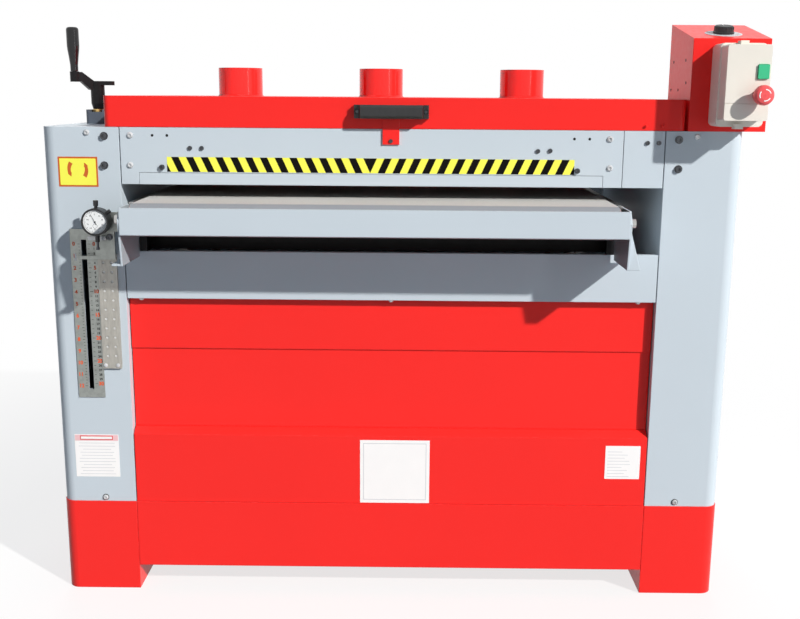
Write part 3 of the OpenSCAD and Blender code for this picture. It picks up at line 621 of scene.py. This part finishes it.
def heads(bm, shape, spots, sizes, y=FRONT):
    """Screw heads of one shape at several places on a front face."""
    for x, z in spots:
        shape(bm, front(x, z, y), AHEAD, *sizes)


def on_front(bm, points, y, low, high):
    """An outline on a front face, as a plate between two heights over it."""
    slab(bm, points, (MID, y, 0), AHEAD, low, high)


def plate(name, box, mat, y=FRONT, lift=0.0, radius=1.0):
    """A film with round corners, from a box of x0, x1, z0, z1."""
    bm = bmesh.new()
    on_front(bm, rounded_rect(*box, radius), y, lift, lift + SKIN)
    piece(name, bm, mat, "frame", smooth=False)


def rules(name, lines, mat, y=FRONT, lift=SKIN):
    """Plain ruled lines, each a box of x0, x1, z0, z1."""
    bm = bmesh.new()
    for line in lines:
        on_front(bm, rectangle(*line), y, lift, lift + INK)
    piece(name, bm, mat, "frame", smooth=False)


def inset(box, by):
    """A box made smaller on all four sides."""
    x0, x1, z0, z1 = box
    return (x0 + by, x1 - by, z0 + by, z1 - by)


def border(box, wide):
    """Four lines just inside a box."""
    x0, x1, z0, z1 = box
    level = [(x0, x1, z0, z0 + wide), (x0, x1, z1 - wide, z1)]
    upright = [(x0, x0 + wide, z0 + wide, z1 - wide), (x1 - wide, x1, z0 + wide, z1 - wide)]
    return level + upright


# Hazard tape on the beam, its stripes meeting in a V
TAPE = (-458, 371, 920, 950)
TAPE_MID = -44
TAPE_STEP = 30.1
TAPE_YELLOW = 15.2
TAPE_LEAN = 0.46
TAPE_INK = 0.08
TAPE_CORNER = 0.6
plate("tape_yellow", TAPE, yellow_film, radius=TAPE_CORNER)
tall = TAPE[3] - TAPE[2]
shift = TAPE_LEAN * tall
shapes = [[(-shift, tall), (0, 0), (shift, tall)]]
for side, limit in ((1, TAPE[1] - TAPE_MID), (-1, TAPE_MID - TAPE[0])):
    for k in range(math.ceil(limit / TAPE_STEP)):
        inner = TAPE_YELLOW + TAPE_STEP * k
        outer = TAPE_STEP * (k + 1)
        leaning = [(inner, 0), (outer, 0), (outer + shift, tall), (inner + shift, tall)]
        stripe = clipped(leaning, 0, limit)
        if stripe:
            shapes.append([(side * a, b) for a, b in stripe])
bm = bmesh.new()
for shape in shapes:
    on_front(bm, moved(shape, (TAPE_MID, TAPE[2])), FRONT, SKIN, SKIN + TAPE_INK)
piece("tape_stripes", bm, black_film, "frame", smooth=False)

# Plain plates
CRANK_PLATE = (-681, -600, 888, 949)
CRANK_EDGE = 3.5
LEFT_PLATE = (-681, -586, 260, 356)
LEFT_BAND = (-680, -587, 342, 355)
LEFT_BAR = (-669, -598, 344, 353.5)
LEFT_BAR_EDGE = 2
LEFT_BAR_CORNER = 0.5
RIGHT_PLATE = (464, 539, 266, 341)
MIDDLE_PLATE = (-65, 85, 206, 349)
MIDDLE_FRAME_IN = 7
MIDDLE_FRAME_WIDE = 1.2
RULE_MARGINS = (9, 14, 11, 17, 8)
RULE_STEP = 7
RULE_WIDE = 1


def uneven_rules(box, count, foot, start, end):
    """Ruled lines up a plate. Start and end give each end's inset: a fixed part and a share of a margin."""
    lines = []
    for i in range(count):
        margin = RULE_MARGINS[i % len(RULE_MARGINS)]
        x0 = box[0] + start[0] + start[1] * margin
        x1 = box[1] - end[0] - end[1] * margin
        low = box[2] + foot + RULE_STEP * i
        lines.append((x0, x1, low, low + RULE_WIDE))
    return lines


plate("plate_crank_edge", CRANK_PLATE, orange_film)
plate("plate_crank", inset(CRANK_PLATE, CRANK_EDGE), yellow_film, lift=SKIN)
plate("plate_left", LEFT_PLATE, white_film)
plate("plate_left_band", LEFT_BAND, pink_film, lift=SKIN)
plate("plate_left_bar", LEFT_BAR, red_film, lift=2 * SKIN)
left_blank = inset(LEFT_BAR, LEFT_BAR_EDGE)
plate("plate_left_bar_blank", left_blank, white_film, lift=3 * SKIN, radius=LEFT_BAR_CORNER)
left_lines = uneven_rules(LEFT_PLATE, count=11, foot=6, start=(0, 1), end=(0, 1))
rules("plate_left_rules", left_lines, grey_film)
plate("plate_right", RIGHT_PLATE, white_film, y=PANEL_Y)
right_lines = uneven_rules(RIGHT_PLATE, count=9, foot=5, start=(5, 0), end=(5, 2))
rules("plate_right_rules", right_lines, grey_film, y=PANEL_Y)
plate("plate_middle", MIDDLE_PLATE, white_film, y=PANEL_Y)
middle_lines = border(inset(MIDDLE_PLATE, MIDDLE_FRAME_IN), MIDDLE_FRAME_WIDE)
rules("plate_middle_frame", middle_lines, grey_film, y=PANEL_Y)

# Seam over the plinth, a dark red line of painted shade in the gap
SEAM = (-553, 553, PLINTH_TOP, PLINTH_TOP + 1)
rules("plinth_seam", [SEAM], seam_painted_shade, y=PANEL_Y, lift=0)

# Two plain turning arrows on the crank plate, thick at one end and pointed at the other
ARROW_R = 25
ARROW_TURN = 34
ARROW_Z = 923
ARROW_STEPS = 12
ARROW_TAIL_HALF = 4.2
ARROW_TAPER = 1.6
ARROW_HEAD_FROM = 0.68
ARROW_HEAD_SLOPE = 15
ARROW_TIP_HALF = 0.2
ARROWS = ((-633.5, -1, -1), (-648, 1, 1))


def arrow_half(t):
    """Half the arrow's width, t being 0 at its tail and 1 at its tip."""
    if t < ARROW_HEAD_FROM:
        return ARROW_TAIL_HALF - ARROW_TAPER * t
    return ARROW_HEAD_SLOPE * (1 - t) + ARROW_TIP_HALF


bm = bmesh.new()
for x, side, up in ARROWS:
    outline = []
    for way in (1, -1):
        for i in range(ARROW_STEPS + 1):
            t = i / ARROW_STEPS if way > 0 else 1 - i / ARROW_STEPS
            r = ARROW_R + way * arrow_half(t)
            turn = math.radians(ARROW_TURN * (2 * t - 1))
            outline.append((x + side * r * math.cos(turn), ARROW_Z + up * r * math.sin(turn)))
    on_front(bm, outline, FRONT, 2 * SKIN, 2 * SKIN + INK)
piece("plate_crank_arrows", bm, orange_film, "frame", smooth=False)

# Screws of the frame: radius, height and sometimes a washer's radius
COLUMN_SCREW = (6.3, 6, 8.2)
COLUMN_SCREWS_AT = ((-584, 991), (-586, 932), (580, 992), (582, 933))
GUARD_SCREW = (5.5, 5.5)
GUARD_SCREWS_AT = ((-468, 929), (377, 928))
SMALL_SCREW = (4.5, 3)
SMALL_SCREWS_AT = ((-410, 968), (-386, 968), (296, 967), (321, 968), (517, 985), (540, 985))
BEAM_BUTTON = (6.5, 3.6)
BEAM_BUTTONS_AT = ((-531, 993), (-533, 933), (441, 992), (443, 934))
COLUMN_BUTTON = (6.0, 4)
UPPER_BUTTONS_AT = ((-619, 998), (617, 998))
LOWER_BUTTONS_AT = ((-620, 213), (619, 214))
LOWER_WASHER = ((5.0, 0), (7.2, 0), (7.0, 0.8), (5.0, 0.9))
BEAM_HOLE = ((2.8, 0), (2.8, 0.15), (1.6, 0.2), (0, 0.1))
BEAM_HOLES_AT = ((-486, 993), (-456, 993), (369, 992), (400, 992))

# The black ones stand in for the plain CAD heads
bm = bmesh.new()
heads(bm, socket, COLUMN_SCREWS_AT, COLUMN_SCREW)
heads(bm, socket, GUARD_SCREWS_AT, GUARD_SCREW)
heads(bm, socket, SMALL_SCREWS_AT, SMALL_SCREW)
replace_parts(piece("frame_screws_black", bm, screw_black, "frame"), "frame_screws")
bm = bmesh.new()
heads(bm, button, BEAM_BUTTONS_AT, BEAM_BUTTON)
piece("beam_screws_zinc", bm, screw_zinc, "frame")
bm = bmesh.new()
heads(bm, button, UPPER_BUTTONS_AT + LOWER_BUTTONS_AT, COLUMN_BUTTON)
piece("frame_screws_zinc", bm, screw_zinc, "frame")
bm = bmesh.new()
for spot in LOWER_BUTTONS_AT:
    lathe(bm, front(*spot), AHEAD, LOWER_WASHER)
piece("frame_washers", bm, finish["black_steel"], "frame")
# Holes in the beam, as dark discs of painted shade.
bm = bmesh.new()
for spot in BEAM_HOLES_AT:
    lathe(bm, front(*spot), AHEAD, BEAM_HOLE, steps=16)
piece("beam_holes", bm, hole_painted_shade, "frame")

# Hood: handle screws, latch screw, two small screws and a weld round each port
HANDLE_SCREW = (4, 4)
HANDLE_SCREW_HALF = 69.5 * MM
HANDLE_SCREW_DEEP = 5 * MM
LATCH_SCREW = (4, 2.5)
LATCH_SCREW_AT = (-2, 985)
HOOD_DOME = (3.2, 1.8)
HOOD_DOMES_AT = ((512, 1019), (546, 1019))
WELD = ((-0.2, 0), (4, 0), (1.6, 1), (0.4, 2.6), (-0.2, 4.5))
bm = bmesh.new()
for side in (-1, 1):
    x = (HANDLE[0].x + HANDLE[1].x) / 2 + side * HANDLE_SCREW_HALF
    spot = (x, HANDLE[1].y - HANDLE_SCREW_DEEP, (HANDLE[0].z + HANDLE[1].z) / 2)
    socket(bm, spot, AHEAD, *HANDLE_SCREW)
heads(bm, socket, [LATCH_SCREW_AT], LATCH_SCREW, HOOD[0].y)
piece("hood_screws_black", bm, screw_black, "hood")
bm = bmesh.new()
heads(bm, dome, HOOD_DOMES_AT, HOOD_DOME, HOOD[0].y)
port_r = (PORTS[1].y - PORTS[0].y) / 2
port_mid = (PORTS[0].x + PORTS[1].x) / 2
port_step = (PORTS[1].x - PORTS[0].x) / 2 - port_r
weld = [(port_r / MM + out, up) for out, up in WELD]
for k in (-1, 0, 1):
    spot = (port_mid + k * port_step, (PORTS[0].y + PORTS[1].y) / 2, HOOD_TOP)
    lathe(bm, spot, UP, weld, steps=64)
piece("hood_welds_and_screws", bm, finish["red_paint"], "hood")

# Back: hinge screws and the screws of the rear panels
HINGE_X = 380
HINGE_SCREW_X = 20
HINGE_SCREW = (4, 2.4)
HINGE_FACE = BACK + 2.5 * MM
LEAF_DOWN = 23 * MM
LEAF_UP = 16 * MM
REAR_SCREW = (5, 3)
REAR_SCREW_IN = 22 * MM
REAR_ROWS = range(240, 641, 100)
CORNER_SCREW_IN = 20 * MM
CORNER_ROWS = (932, 992)
bm = bmesh.new()
bm_hood = bmesh.new()
for x in (-HINGE_X, HINGE_X):
    for dx in (-HINGE_SCREW_X, HINGE_SCREW_X):
        button(bm, (at(x + dx), HINGE_FACE, TOP - LEAF_DOWN), BEHIND, *HINGE_SCREW)
    button(bm_hood, (at(x), HINGE_FACE, TOP + LEAF_UP), BEHIND, *HINGE_SCREW)
piece("hinge_screws", bm, screw_zinc, "frame")
bm = bmesh.new()
for z in REAR_ROWS:
    for x in (REAR[0].x + REAR_SCREW_IN, REAR[1].x - REAR_SCREW_IN):
        button(bm, (x, PANEL_BACK, z * MM), BEHIND, *REAR_SCREW)
for x in (REAR[0].x + CORNER_SCREW_IN, REAR[1].x - CORNER_SCREW_IN):
    for z in CORNER_ROWS:
        button(bm, (x, BACK, z * MM), BEHIND, *REAR_SCREW)
piece("rear_screws", bm, screw_zinc, "frame")
piece("hinge_screws_hood", bm_hood, screw_zinc, "hood")

# Table: bolts under the apron and on the side flange
APRON_BOLT = (8, 4.5, 6)
APRON_BOLTS_X = (-524, 0, 517)
APRON_BOLT_IN = 7 * MM
FLANGE_BOLT = (9, 5, 7)
FLANGE_BOLT_IN = 9 * MM
FLANGE_BOLT_BACK = 33 * MM
FLANGE_THICK = 4 * MM
bm = bmesh.new()
for x in APRON_BOLTS_X:
    hex_head(bm, (at(x), APRON[0].y + APRON_BOLT_IN, APRON[0].z), DOWN, *APRON_BOLT)
spot = (TABLE[1].x - FLANGE_BOLT_IN, TABLE[0].y + FLANGE_BOLT_BACK, TABLE[0].z + FLANGE_THICK)
hex_head(bm, spot, UP, *FLANGE_BOLT)
piece("table_bolts", bm, screw_zinc, "table")

# Gauge bracket: clamp in two halves, bolt, and the pointer's white tab
GAUGE_Y = BRACKET[1].y - 4 * MM
CLAMP_DEEP = 7
CLAMP_HALVES = ((-619, -597.5, 782, 790), (-593.5, -582, 782, 790))
CLAMP_CORNER = 1
GAUGE_BOLT = (5, 4, 7)
GAUGE_BOLT_AT = (-576, 788)
TAB = (-2, 2, -7.5, 7.5)
TAB_CORNER = 1
TAB_AT = (-648, 746)
TAB_THICK = 1.2
bm = bmesh.new()
for box in CLAMP_HALVES:
    on_front(bm, rounded_rect(*box, CLAMP_CORNER), GAUGE_Y, 0, CLAMP_DEEP)
piece("gauge_clamp", bm, screw_zinc, "table")
bm = bmesh.new()
heads(bm, socket, [GAUGE_BOLT_AT], GAUGE_BOLT, GAUGE_Y)
piece("gauge_bolt", bm, screw_black, "table")
bm = bmesh.new()
slab(bm, rounded_rect(*TAB, TAB_CORNER), front(*TAB_AT, GAUGE_Y), AHEAD, 0, TAB_THICK)
piece("pointer_tab", bm, white_film, "table")

# Cooling ribs of the feed motor
MOTOR_R = 38
MOTOR_AXIS_UP = 45 * MM
RIB_FIRST = 30
RIB_STEP = 11.5
RIB_COUNT = 10
RIB = ((MOTOR_R - 1, 0), (MOTOR_R + 1.9, 0.3), (MOTOR_R + 1.9, 1.9), (MOTOR_R - 1, 2.2))
bm = bmesh.new()
for i in range(RIB_COUNT):
    x = MOTOR[1].x - (RIB_FIRST + RIB_STEP * i) * MM
    lathe(bm, (x, MOTOR[0].y + MOTOR_R * MM, MOTOR[0].z + MOTOR_AXIS_UP), RIGHT, RIB, steps=48)
piece("feed_motor_ribs", bm, finish["motor_paint"], "table")

# Height scale: inches at the left, centimetres at the right
SCALE_Y = SCALE[0].y
SCALE_TOP = 770
INCH = 25.4
INCHES = 12
CENTIMETRES = 30
INCH_FIGURE_X = -658
CM_FIGURE_X = -616
BIG_FIGURE = 11
BIG_WEIGHT = 0.45
SMALL_FIGURE = 6.5
SMALL_WEIGHT = 0.3
INCH_MARK_END = -645
INCH_MARK_STARTS = (-650, -648)
CM_MARK_START = -629
CM_MARK_ENDS = (-623, -625)
MARK_HALF = 0.5
bm = bmesh.new()
for i in range(INCHES + 1):
    spot = front(INCH_FIGURE_X, SCALE_TOP - INCH * i, SCALE_Y)
    figures(bm, str(i), BIG_FIGURE, spot, INK, BIG_WEIGHT)
for i in range(0, CENTIMETRES + 1, 5):
    figures(bm, str(i), BIG_FIGURE, front(CM_FIGURE_X, SCALE_TOP - 10 * i, SCALE_Y), INK, BIG_WEIGHT)
piece("scale_figures", bm, ink_orange, "frame", smooth=False)
bm = bmesh.new()
marks = []
for i in range(CENTIMETRES + 1):
    z = SCALE_TOP - 10 * i
    marks.append((CM_MARK_START, CM_MARK_ENDS[0] if i % 5 == 0 else CM_MARK_ENDS[1], z))
    if i % 5:
        figures(bm, str(i), SMALL_FIGURE, front(CM_FIGURE_X, z, SCALE_Y), INK, SMALL_WEIGHT)
for i in range(4 * INCHES + 1):
    start = INCH_MARK_STARTS[0] if i % 4 == 0 else INCH_MARK_STARTS[1]
    marks.append((start, INCH_MARK_END, SCALE_TOP - INCH / 4 * i))
for x0, x1, z in marks:
    on_front(bm, rectangle(x0, x1, z - MARK_HALF, z + MARK_HALF), SCALE_Y, 0, INK)
piece("scale_marks", bm, ink_black, "frame", smooth=False)

# Plate with two rows of holes: two screws, and a stud in each hole, near white as painted light where the holes
# show bright
HOLE_COUNT = 11
HOLE_PITCH = 20
HOLE_FIRST = 27
HOLE_ROW_HALF = 8.5 * MM
STUD = ((2.9, 0), (2.9, 4.4), (2.2, 4.8), (0, 4.8))
PLATE_DOME = (4.5, 2.5)
PLATE_DOMES_AT = ((-603, 512), (-577, 512))
bm = bmesh.new()
heads(bm, dome, PLATE_DOMES_AT, PLATE_DOME, HOLES[0].y)
piece("hole_plate_screws", bm, screw_zinc, "frame")
bm = bmesh.new()
holes_mid = (HOLES[0].x + HOLES[1].x) / 2
for i in range(HOLE_COUNT):
    for x in (holes_mid - HOLE_ROW_HALF, holes_mid + HOLE_ROW_HALF):
        lathe(bm, (x, FRONT, HOLES[0].z + (HOLE_FIRST + HOLE_PITCH * i) * MM), AHEAD, STUD, steps=20)
piece("hole_plate_studs", bm, stud_painted_light, "frame")

# Dial gauge: face, marks with figures and a small inner circle, needle on a hub
DIAL_AT = (-593, 823)
FACE_Y = DIAL[0].y + 2.8 * MM
FACE_THICK = 0.3
FACE_TOP = FACE_Y - FACE_THICK * MM
FACE = ((24, 0), (24, FACE_THICK), (0, FACE_THICK))
FACE_INK = 0.06
DIAL_MARKS = 50
DIAL_MARK_OUT = 23
DIAL_MARK_IN = (18.5, 20.5)
DIAL_MARK_HALF = 0.28
DIAL_FIGURES = 10
DIAL_FIGURE = 4.2
DIAL_FIGURE_R = 15.2
CIRCLE_DOWN = 8
CIRCLE = ((4.6, 0), (4.6, FACE_INK), (4.1, FACE_INK), (4.1, 0))
NEEDLE_TURN = math.radians(118)
NEEDLE_TAIL = 6
NEEDLE_LONG = 21
NEEDLE_HALF = 0.6
NEEDLE_HEIGHTS = (0.8, 1.1)
HUB = ((1.8, FACE_THICK), (1.8, 1.3), (1.2, 1.6), (0, 1.6))
bm = bmesh.new()
lathe(bm, front(*DIAL_AT, FACE_Y), AHEAD, FACE, steps=48)
piece("dial_face", bm, dial_white, "table")
bm = bmesh.new()
for i in range(DIAL_MARKS):
    inner = DIAL_MARK_IN[0] if i % 5 == 0 else DIAL_MARK_IN[1]
    mark = radial_mark(2 * math.pi * i / DIAL_MARKS, inner, DIAL_MARK_OUT, DIAL_MARK_HALF)
    on_front(bm, moved(mark, DIAL_AT), FACE_Y, FACE_THICK, FACE_THICK + FACE_INK)
for i in range(DIAL_FIGURES):
    a = math.radians(90 - 360 / DIAL_FIGURES * i)
    x = DIAL_AT[0] + DIAL_FIGURE_R * math.cos(a)
    z = DIAL_AT[1] + DIAL_FIGURE_R * math.sin(a)
    figures(bm, str(10 * i), DIAL_FIGURE, front(x, z, FACE_TOP), FACE_INK)
spot = front(DIAL_AT[0], DIAL_AT[1] - CIRCLE_DOWN, FACE_TOP)
lathe(bm, spot, AHEAD, CIRCLE)
piece("dial_marks", bm, ink_black, "table", smooth=False)
bm = bmesh.new()
c, s = math.cos(NEEDLE_TURN), math.sin(NEEDLE_TURN)
needle = [(-NEEDLE_TAIL * c - NEEDLE_HALF * s, -NEEDLE_TAIL * s + NEEDLE_HALF * c),
          (-NEEDLE_TAIL * c + NEEDLE_HALF * s, -NEEDLE_TAIL * s - NEEDLE_HALF * c),
          (NEEDLE_LONG * c, NEEDLE_LONG * s)]
on_front(bm, moved(needle, DIAL_AT), FACE_Y, *NEEDLE_HEIGHTS)
lathe(bm, front(*DIAL_AT, FACE_Y), AHEAD, HUB, steps=20)
piece("dial_needle", bm, screw_black, "table")

# Console: screw holes in its inner side, as dark discs of painted shade
CONSOLE_HOLE = ((3, 0), (3, 0.3), (2, 0.4), (0, 0.2))
CONSOLE_HOLES_YZ = ((-174, 1149), (-270, 1150), (-281, 1105), (-222, 1091), (-163, 1091))
bm = bmesh.new()
for y, z in CONSOLE_HOLES_YZ:
    lathe(bm, (CONSOLE[0].x, y * MM, z * MM), LEFT, CONSOLE_HOLE, steps=16)
piece("console_holes", bm, hole_painted_shade, "frame")

# Speed knob: a round scale under it with marks, a white line and ribs on it
speed = next(joint for joint in frame["joints"] if joint["name"] == "speed_turn")
KNOB_AT = Vector(speed["pos_m"])
KNOB_UP = Vector(speed["axis"]).normalized()
KNOB_R = (KNOB[1].x - KNOB[0].x) / 2
KNOB_SCALE_THICK = 0.8
KNOB_SCALE = ((4.5, 0), (37, 0), (37, 0.6), (36.6, KNOB_SCALE_THICK), (4.5, KNOB_SCALE_THICK))
KNOB_MARKS = 21
KNOB_MARK_FIRST = 230
KNOB_MARK_STEP = 14
KNOB_MARK_IN = 27
KNOB_MARK_LONG = (7, 4)
KNOB_MARK_HALF = 0.4
LINE = (-1, 1, 5, 16)
LINE_CORNER = 0.6
LINE_HEIGHTS = (16.1, 16.4)
KNOB_RIBS = 20
KNOB_RIB = ((0, 0), (1.3, 0), (1.2, 8), (0, 8.6))
KNOB_RIB_FOOT = 5.9 * MM
KNOB_RIB_IN = 2.6 * MM
bm = bmesh.new()
lathe(bm, KNOB_AT, KNOB_UP, KNOB_SCALE, steps=64)
piece("knob_scale", bm, grey_film, "frame")
bm = bmesh.new()
for i in range(KNOB_MARKS):
    angle = math.radians(KNOB_MARK_FIRST - KNOB_MARK_STEP * i)
    mark = radial_mark(angle, KNOB_MARK_IN, KNOB_MARK_IN + KNOB_MARK_LONG[i % 2], KNOB_MARK_HALF)
    slab(bm, mark, KNOB_AT, KNOB_UP, KNOB_SCALE_THICK, KNOB_SCALE_THICK + INK)
piece("knob_scale_marks", bm, ink_black, "frame", smooth=False)
bm = bmesh.new()
slab(bm, rounded_rect(*LINE, LINE_CORNER), KNOB_AT, KNOB_UP, *LINE_HEIGHTS)
piece("knob_line", bm, white_film, "speed", smooth=False)
bm = bmesh.new()
u, v, n = axes(KNOB_UP)
for i in range(KNOB_RIBS):
    a = 2 * math.pi * i / KNOB_RIBS
    out = (u * math.cos(a) + v * math.sin(a)) * (KNOB_R - KNOB_RIB_IN)
    lathe(bm, KNOB_AT + KNOB_UP * KNOB_RIB_FOOT + out, KNOB_UP, KNOB_RIB, steps=8)
piece("knob_ribs", bm, finish["black_plastic"], "speed")

# Stop button: three plain turning arcs
ARC_OUT = 11.5
ARC_IN = 9.5
ARC_FIRST = 20
ARC_TURN = 70
ARC_STEP = 10
ARC_HEIGHTS = (-1.2, 0.1)
bm = bmesh.new()
stop_face = ((STOP[0].x + STOP[1].x) / 2, STOP[0].y, (STOP[0].z + STOP[1].z) / 2)
for k in range(3):
    angles = [math.radians(ARC_FIRST + 120 * k + a) for a in range(0, ARC_TURN + 1, ARC_STEP)]
    outline = [(ARC_OUT * math.cos(a), ARC_OUT * math.sin(a)) for a in angles]
    outline += [(ARC_IN * math.cos(a), ARC_IN * math.sin(a)) for a in reversed(angles)]
    slab(bm, outline, stop_face, AHEAD, *ARC_HEIGHTS)
piece("stop_arrows", bm, white_film, "stop", smooth=False)


# Camera, fitted to the straight edges of the photo
CAMERA_AT = Vector((0.01371, -2.41738, 1.07729))
PITCH = math.radians(11.86)
YAW = math.radians(-0.37)
ROLL = math.radians(0.42)
SENSOR_MM = 36
LENS_MM = 46.04
SIGHT = 200
ahead = Vector((math.sin(YAW) * math.cos(PITCH), math.cos(YAW) * math.cos(PITCH), -math.sin(PITCH)))
level = Vector((math.cos(YAW), -math.sin(YAW), 0))
above = level.cross(ahead)
camera_right = level * math.cos(ROLL) + above * math.sin(ROLL)
camera_up = above * math.cos(ROLL) - level * math.sin(ROLL)
camera = bpy.data.objects.new("camera", bpy.data.cameras.new("camera"))
camera.data.sensor_width = SENSOR_MM
camera.data.sensor_fit = "HORIZONTAL"
camera.data.lens = LENS_MM
camera.data.clip_end = SIGHT
pose = Matrix((camera_right, camera_up, -ahead)).transposed().to_4x4()
pose.translation = CAMERA_AT
camera.matrix_world = pose
scene.collection.objects.link(camera)
scene.camera = camera

# Light: a sun from the right, a weak broad lamp for the back, and an even sky
SUN_POWER = 4.15
SUN_COLOUR = (1.0, 0.975, 0.94)
SUN_WAY = (-1.15, 1.0, -0.93)
SUN_WIDE = 1.5
BACK_POWER = 1.5
BACK_WAY = (0.0, -1.0, -0.5)
BACK_WIDE = 40
SKY_POWER = 0.16
SKY_COLOUR = (0.86, 0.98, 1.16)


def aimed(lamp, way):
    lamp.rotation_euler = Vector(way).to_track_quat("-Z", "Y").to_euler()
    scene.collection.objects.link(lamp)


def sunlight(name, way, power, wide):
    """A sun lamp of some angular width in degrees, left out of reflections."""
    lamp = bpy.data.objects.new(name, bpy.data.lights.new(name, "SUN"))
    lamp.data.energy = power
    lamp.data.angle = math.radians(wide)
    lamp.visible_glossy = False
    aimed(lamp, way)
    return lamp


def seen_directly(tree):
    """1 for camera, glossy and transmission rays, 0 for light that bounces."""
    rays = tree.nodes.new("ShaderNodeLightPath")
    out = rays.outputs["Is Camera Ray"]
    for kind in ("Is Glossy Ray", "Is Transmission Ray"):
        most = tree.nodes.new("ShaderNodeMath")
        most.operation = "MAXIMUM"
        tree.links.new(out, most.inputs[0])
        tree.links.new(rays.outputs[kind], most.inputs[1])
        out = most.outputs["Value"]
    return out


sunlight("sun", SUN_WAY, SUN_POWER, SUN_WIDE).data.color = SUN_COLOUR
sunlight("back_light", BACK_WAY, BACK_POWER, BACK_WIDE)

# A tall narrow lamp at the front right, for the bright lines on round and glossy pieces
STRIP_AT = Vector((2.3, -2.4, 1.3))
STRIP_SIZE = (0.12, 2.4)
STRIP_POWER = 8.0
strip = bpy.data.objects.new("strip", bpy.data.lights.new("strip", "AREA"))
strip.data.shape = "RECTANGLE"
strip.data.size, strip.data.size_y = STRIP_SIZE
strip.data.energy = STRIP_POWER
strip.location = STRIP_AT
strip.visible_camera = False
aimed(strip, Vector((0, 0, STRIP_AT.z)) - STRIP_AT)

# Sky: white where it is seen, dimmer as light
world = bpy.data.worlds.new("sky")
world.use_nodes = True
scene.world = world
tree = world.node_tree
backdrop = tree.nodes["Background"]
backdrop.inputs["Strength"].default_value = 1.0
sky = tree.nodes.new("ShaderNodeMix")
sky.data_type = "RGBA"
sky.inputs[6].default_value = (*(c * SKY_POWER for c in SKY_COLOUR), 1)
sky.inputs[7].default_value = (1, 1, 1, 1)
tree.links.new(seen_directly(tree), sky.inputs[0])
tree.links.new(sky.outputs[2], backdrop.inputs["Color"])

# Floor: white to the eye, keeping the shadow and fading into the sky; bounced light meets a duller one
FLOOR_HALF = 14.0
FLOOR_Z = -0.6 * MM
FLOOR_WHITE = (0.92, 0.92, 0.92)
FLOOR_DULL = (0.29, 0.31, 0.34, 1)
FADE_NEAR = (1.0, 0.76)
FADE_FAR = (2.6, 1.0)
corners = [(x * FLOOR_HALF, y * FLOOR_HALF, FLOOR_Z) for x, y in ((-1, -1), (1, -1), (1, 1), (-1, 1))]
mesh = bpy.data.meshes.new("floor")
mesh.from_pydata(corners, [], [(0, 1, 2, 3)])
floor = bpy.data.objects.new("floor", mesh)
scene.collection.objects.link(floor)
ground = Finish("floor white", FLOOR_WHITE, rough=0.8)
mesh.materials.append(ground.mat)
glow = ground.add("ShaderNodeEmission", {"Color": (1, 1, 1, 1)}).outputs["Emission"]
dull = ground.add("ShaderNodeBsdfDiffuse", {"Color": FLOOR_DULL}).outputs["BSDF"]
distance = ground.add("ShaderNodeVectorMath", {0: ground.coords}, operation="LENGTH").outputs["Value"]
fade = ground.spread(distance, FADE_NEAR[1], FADE_FAR[1], start=FADE_NEAR[0], end=FADE_FAR[0])


def mixed(share, first, second):
    """Two shaders of the floor, mixed by a share of the second."""
    return ground.add("ShaderNodeMixShader", {0: share, 1: first, 2: second}).outputs["Shader"]


seen = mixed(fade, ground.bsdf.outputs["BSDF"], glow)
whole = mixed(seen_directly(ground.tree), dull, seen)
ground.plug(whole, ground.tree.nodes["Material Output"].inputs["Surface"])

scene.view_settings.view_transform = "Standard"
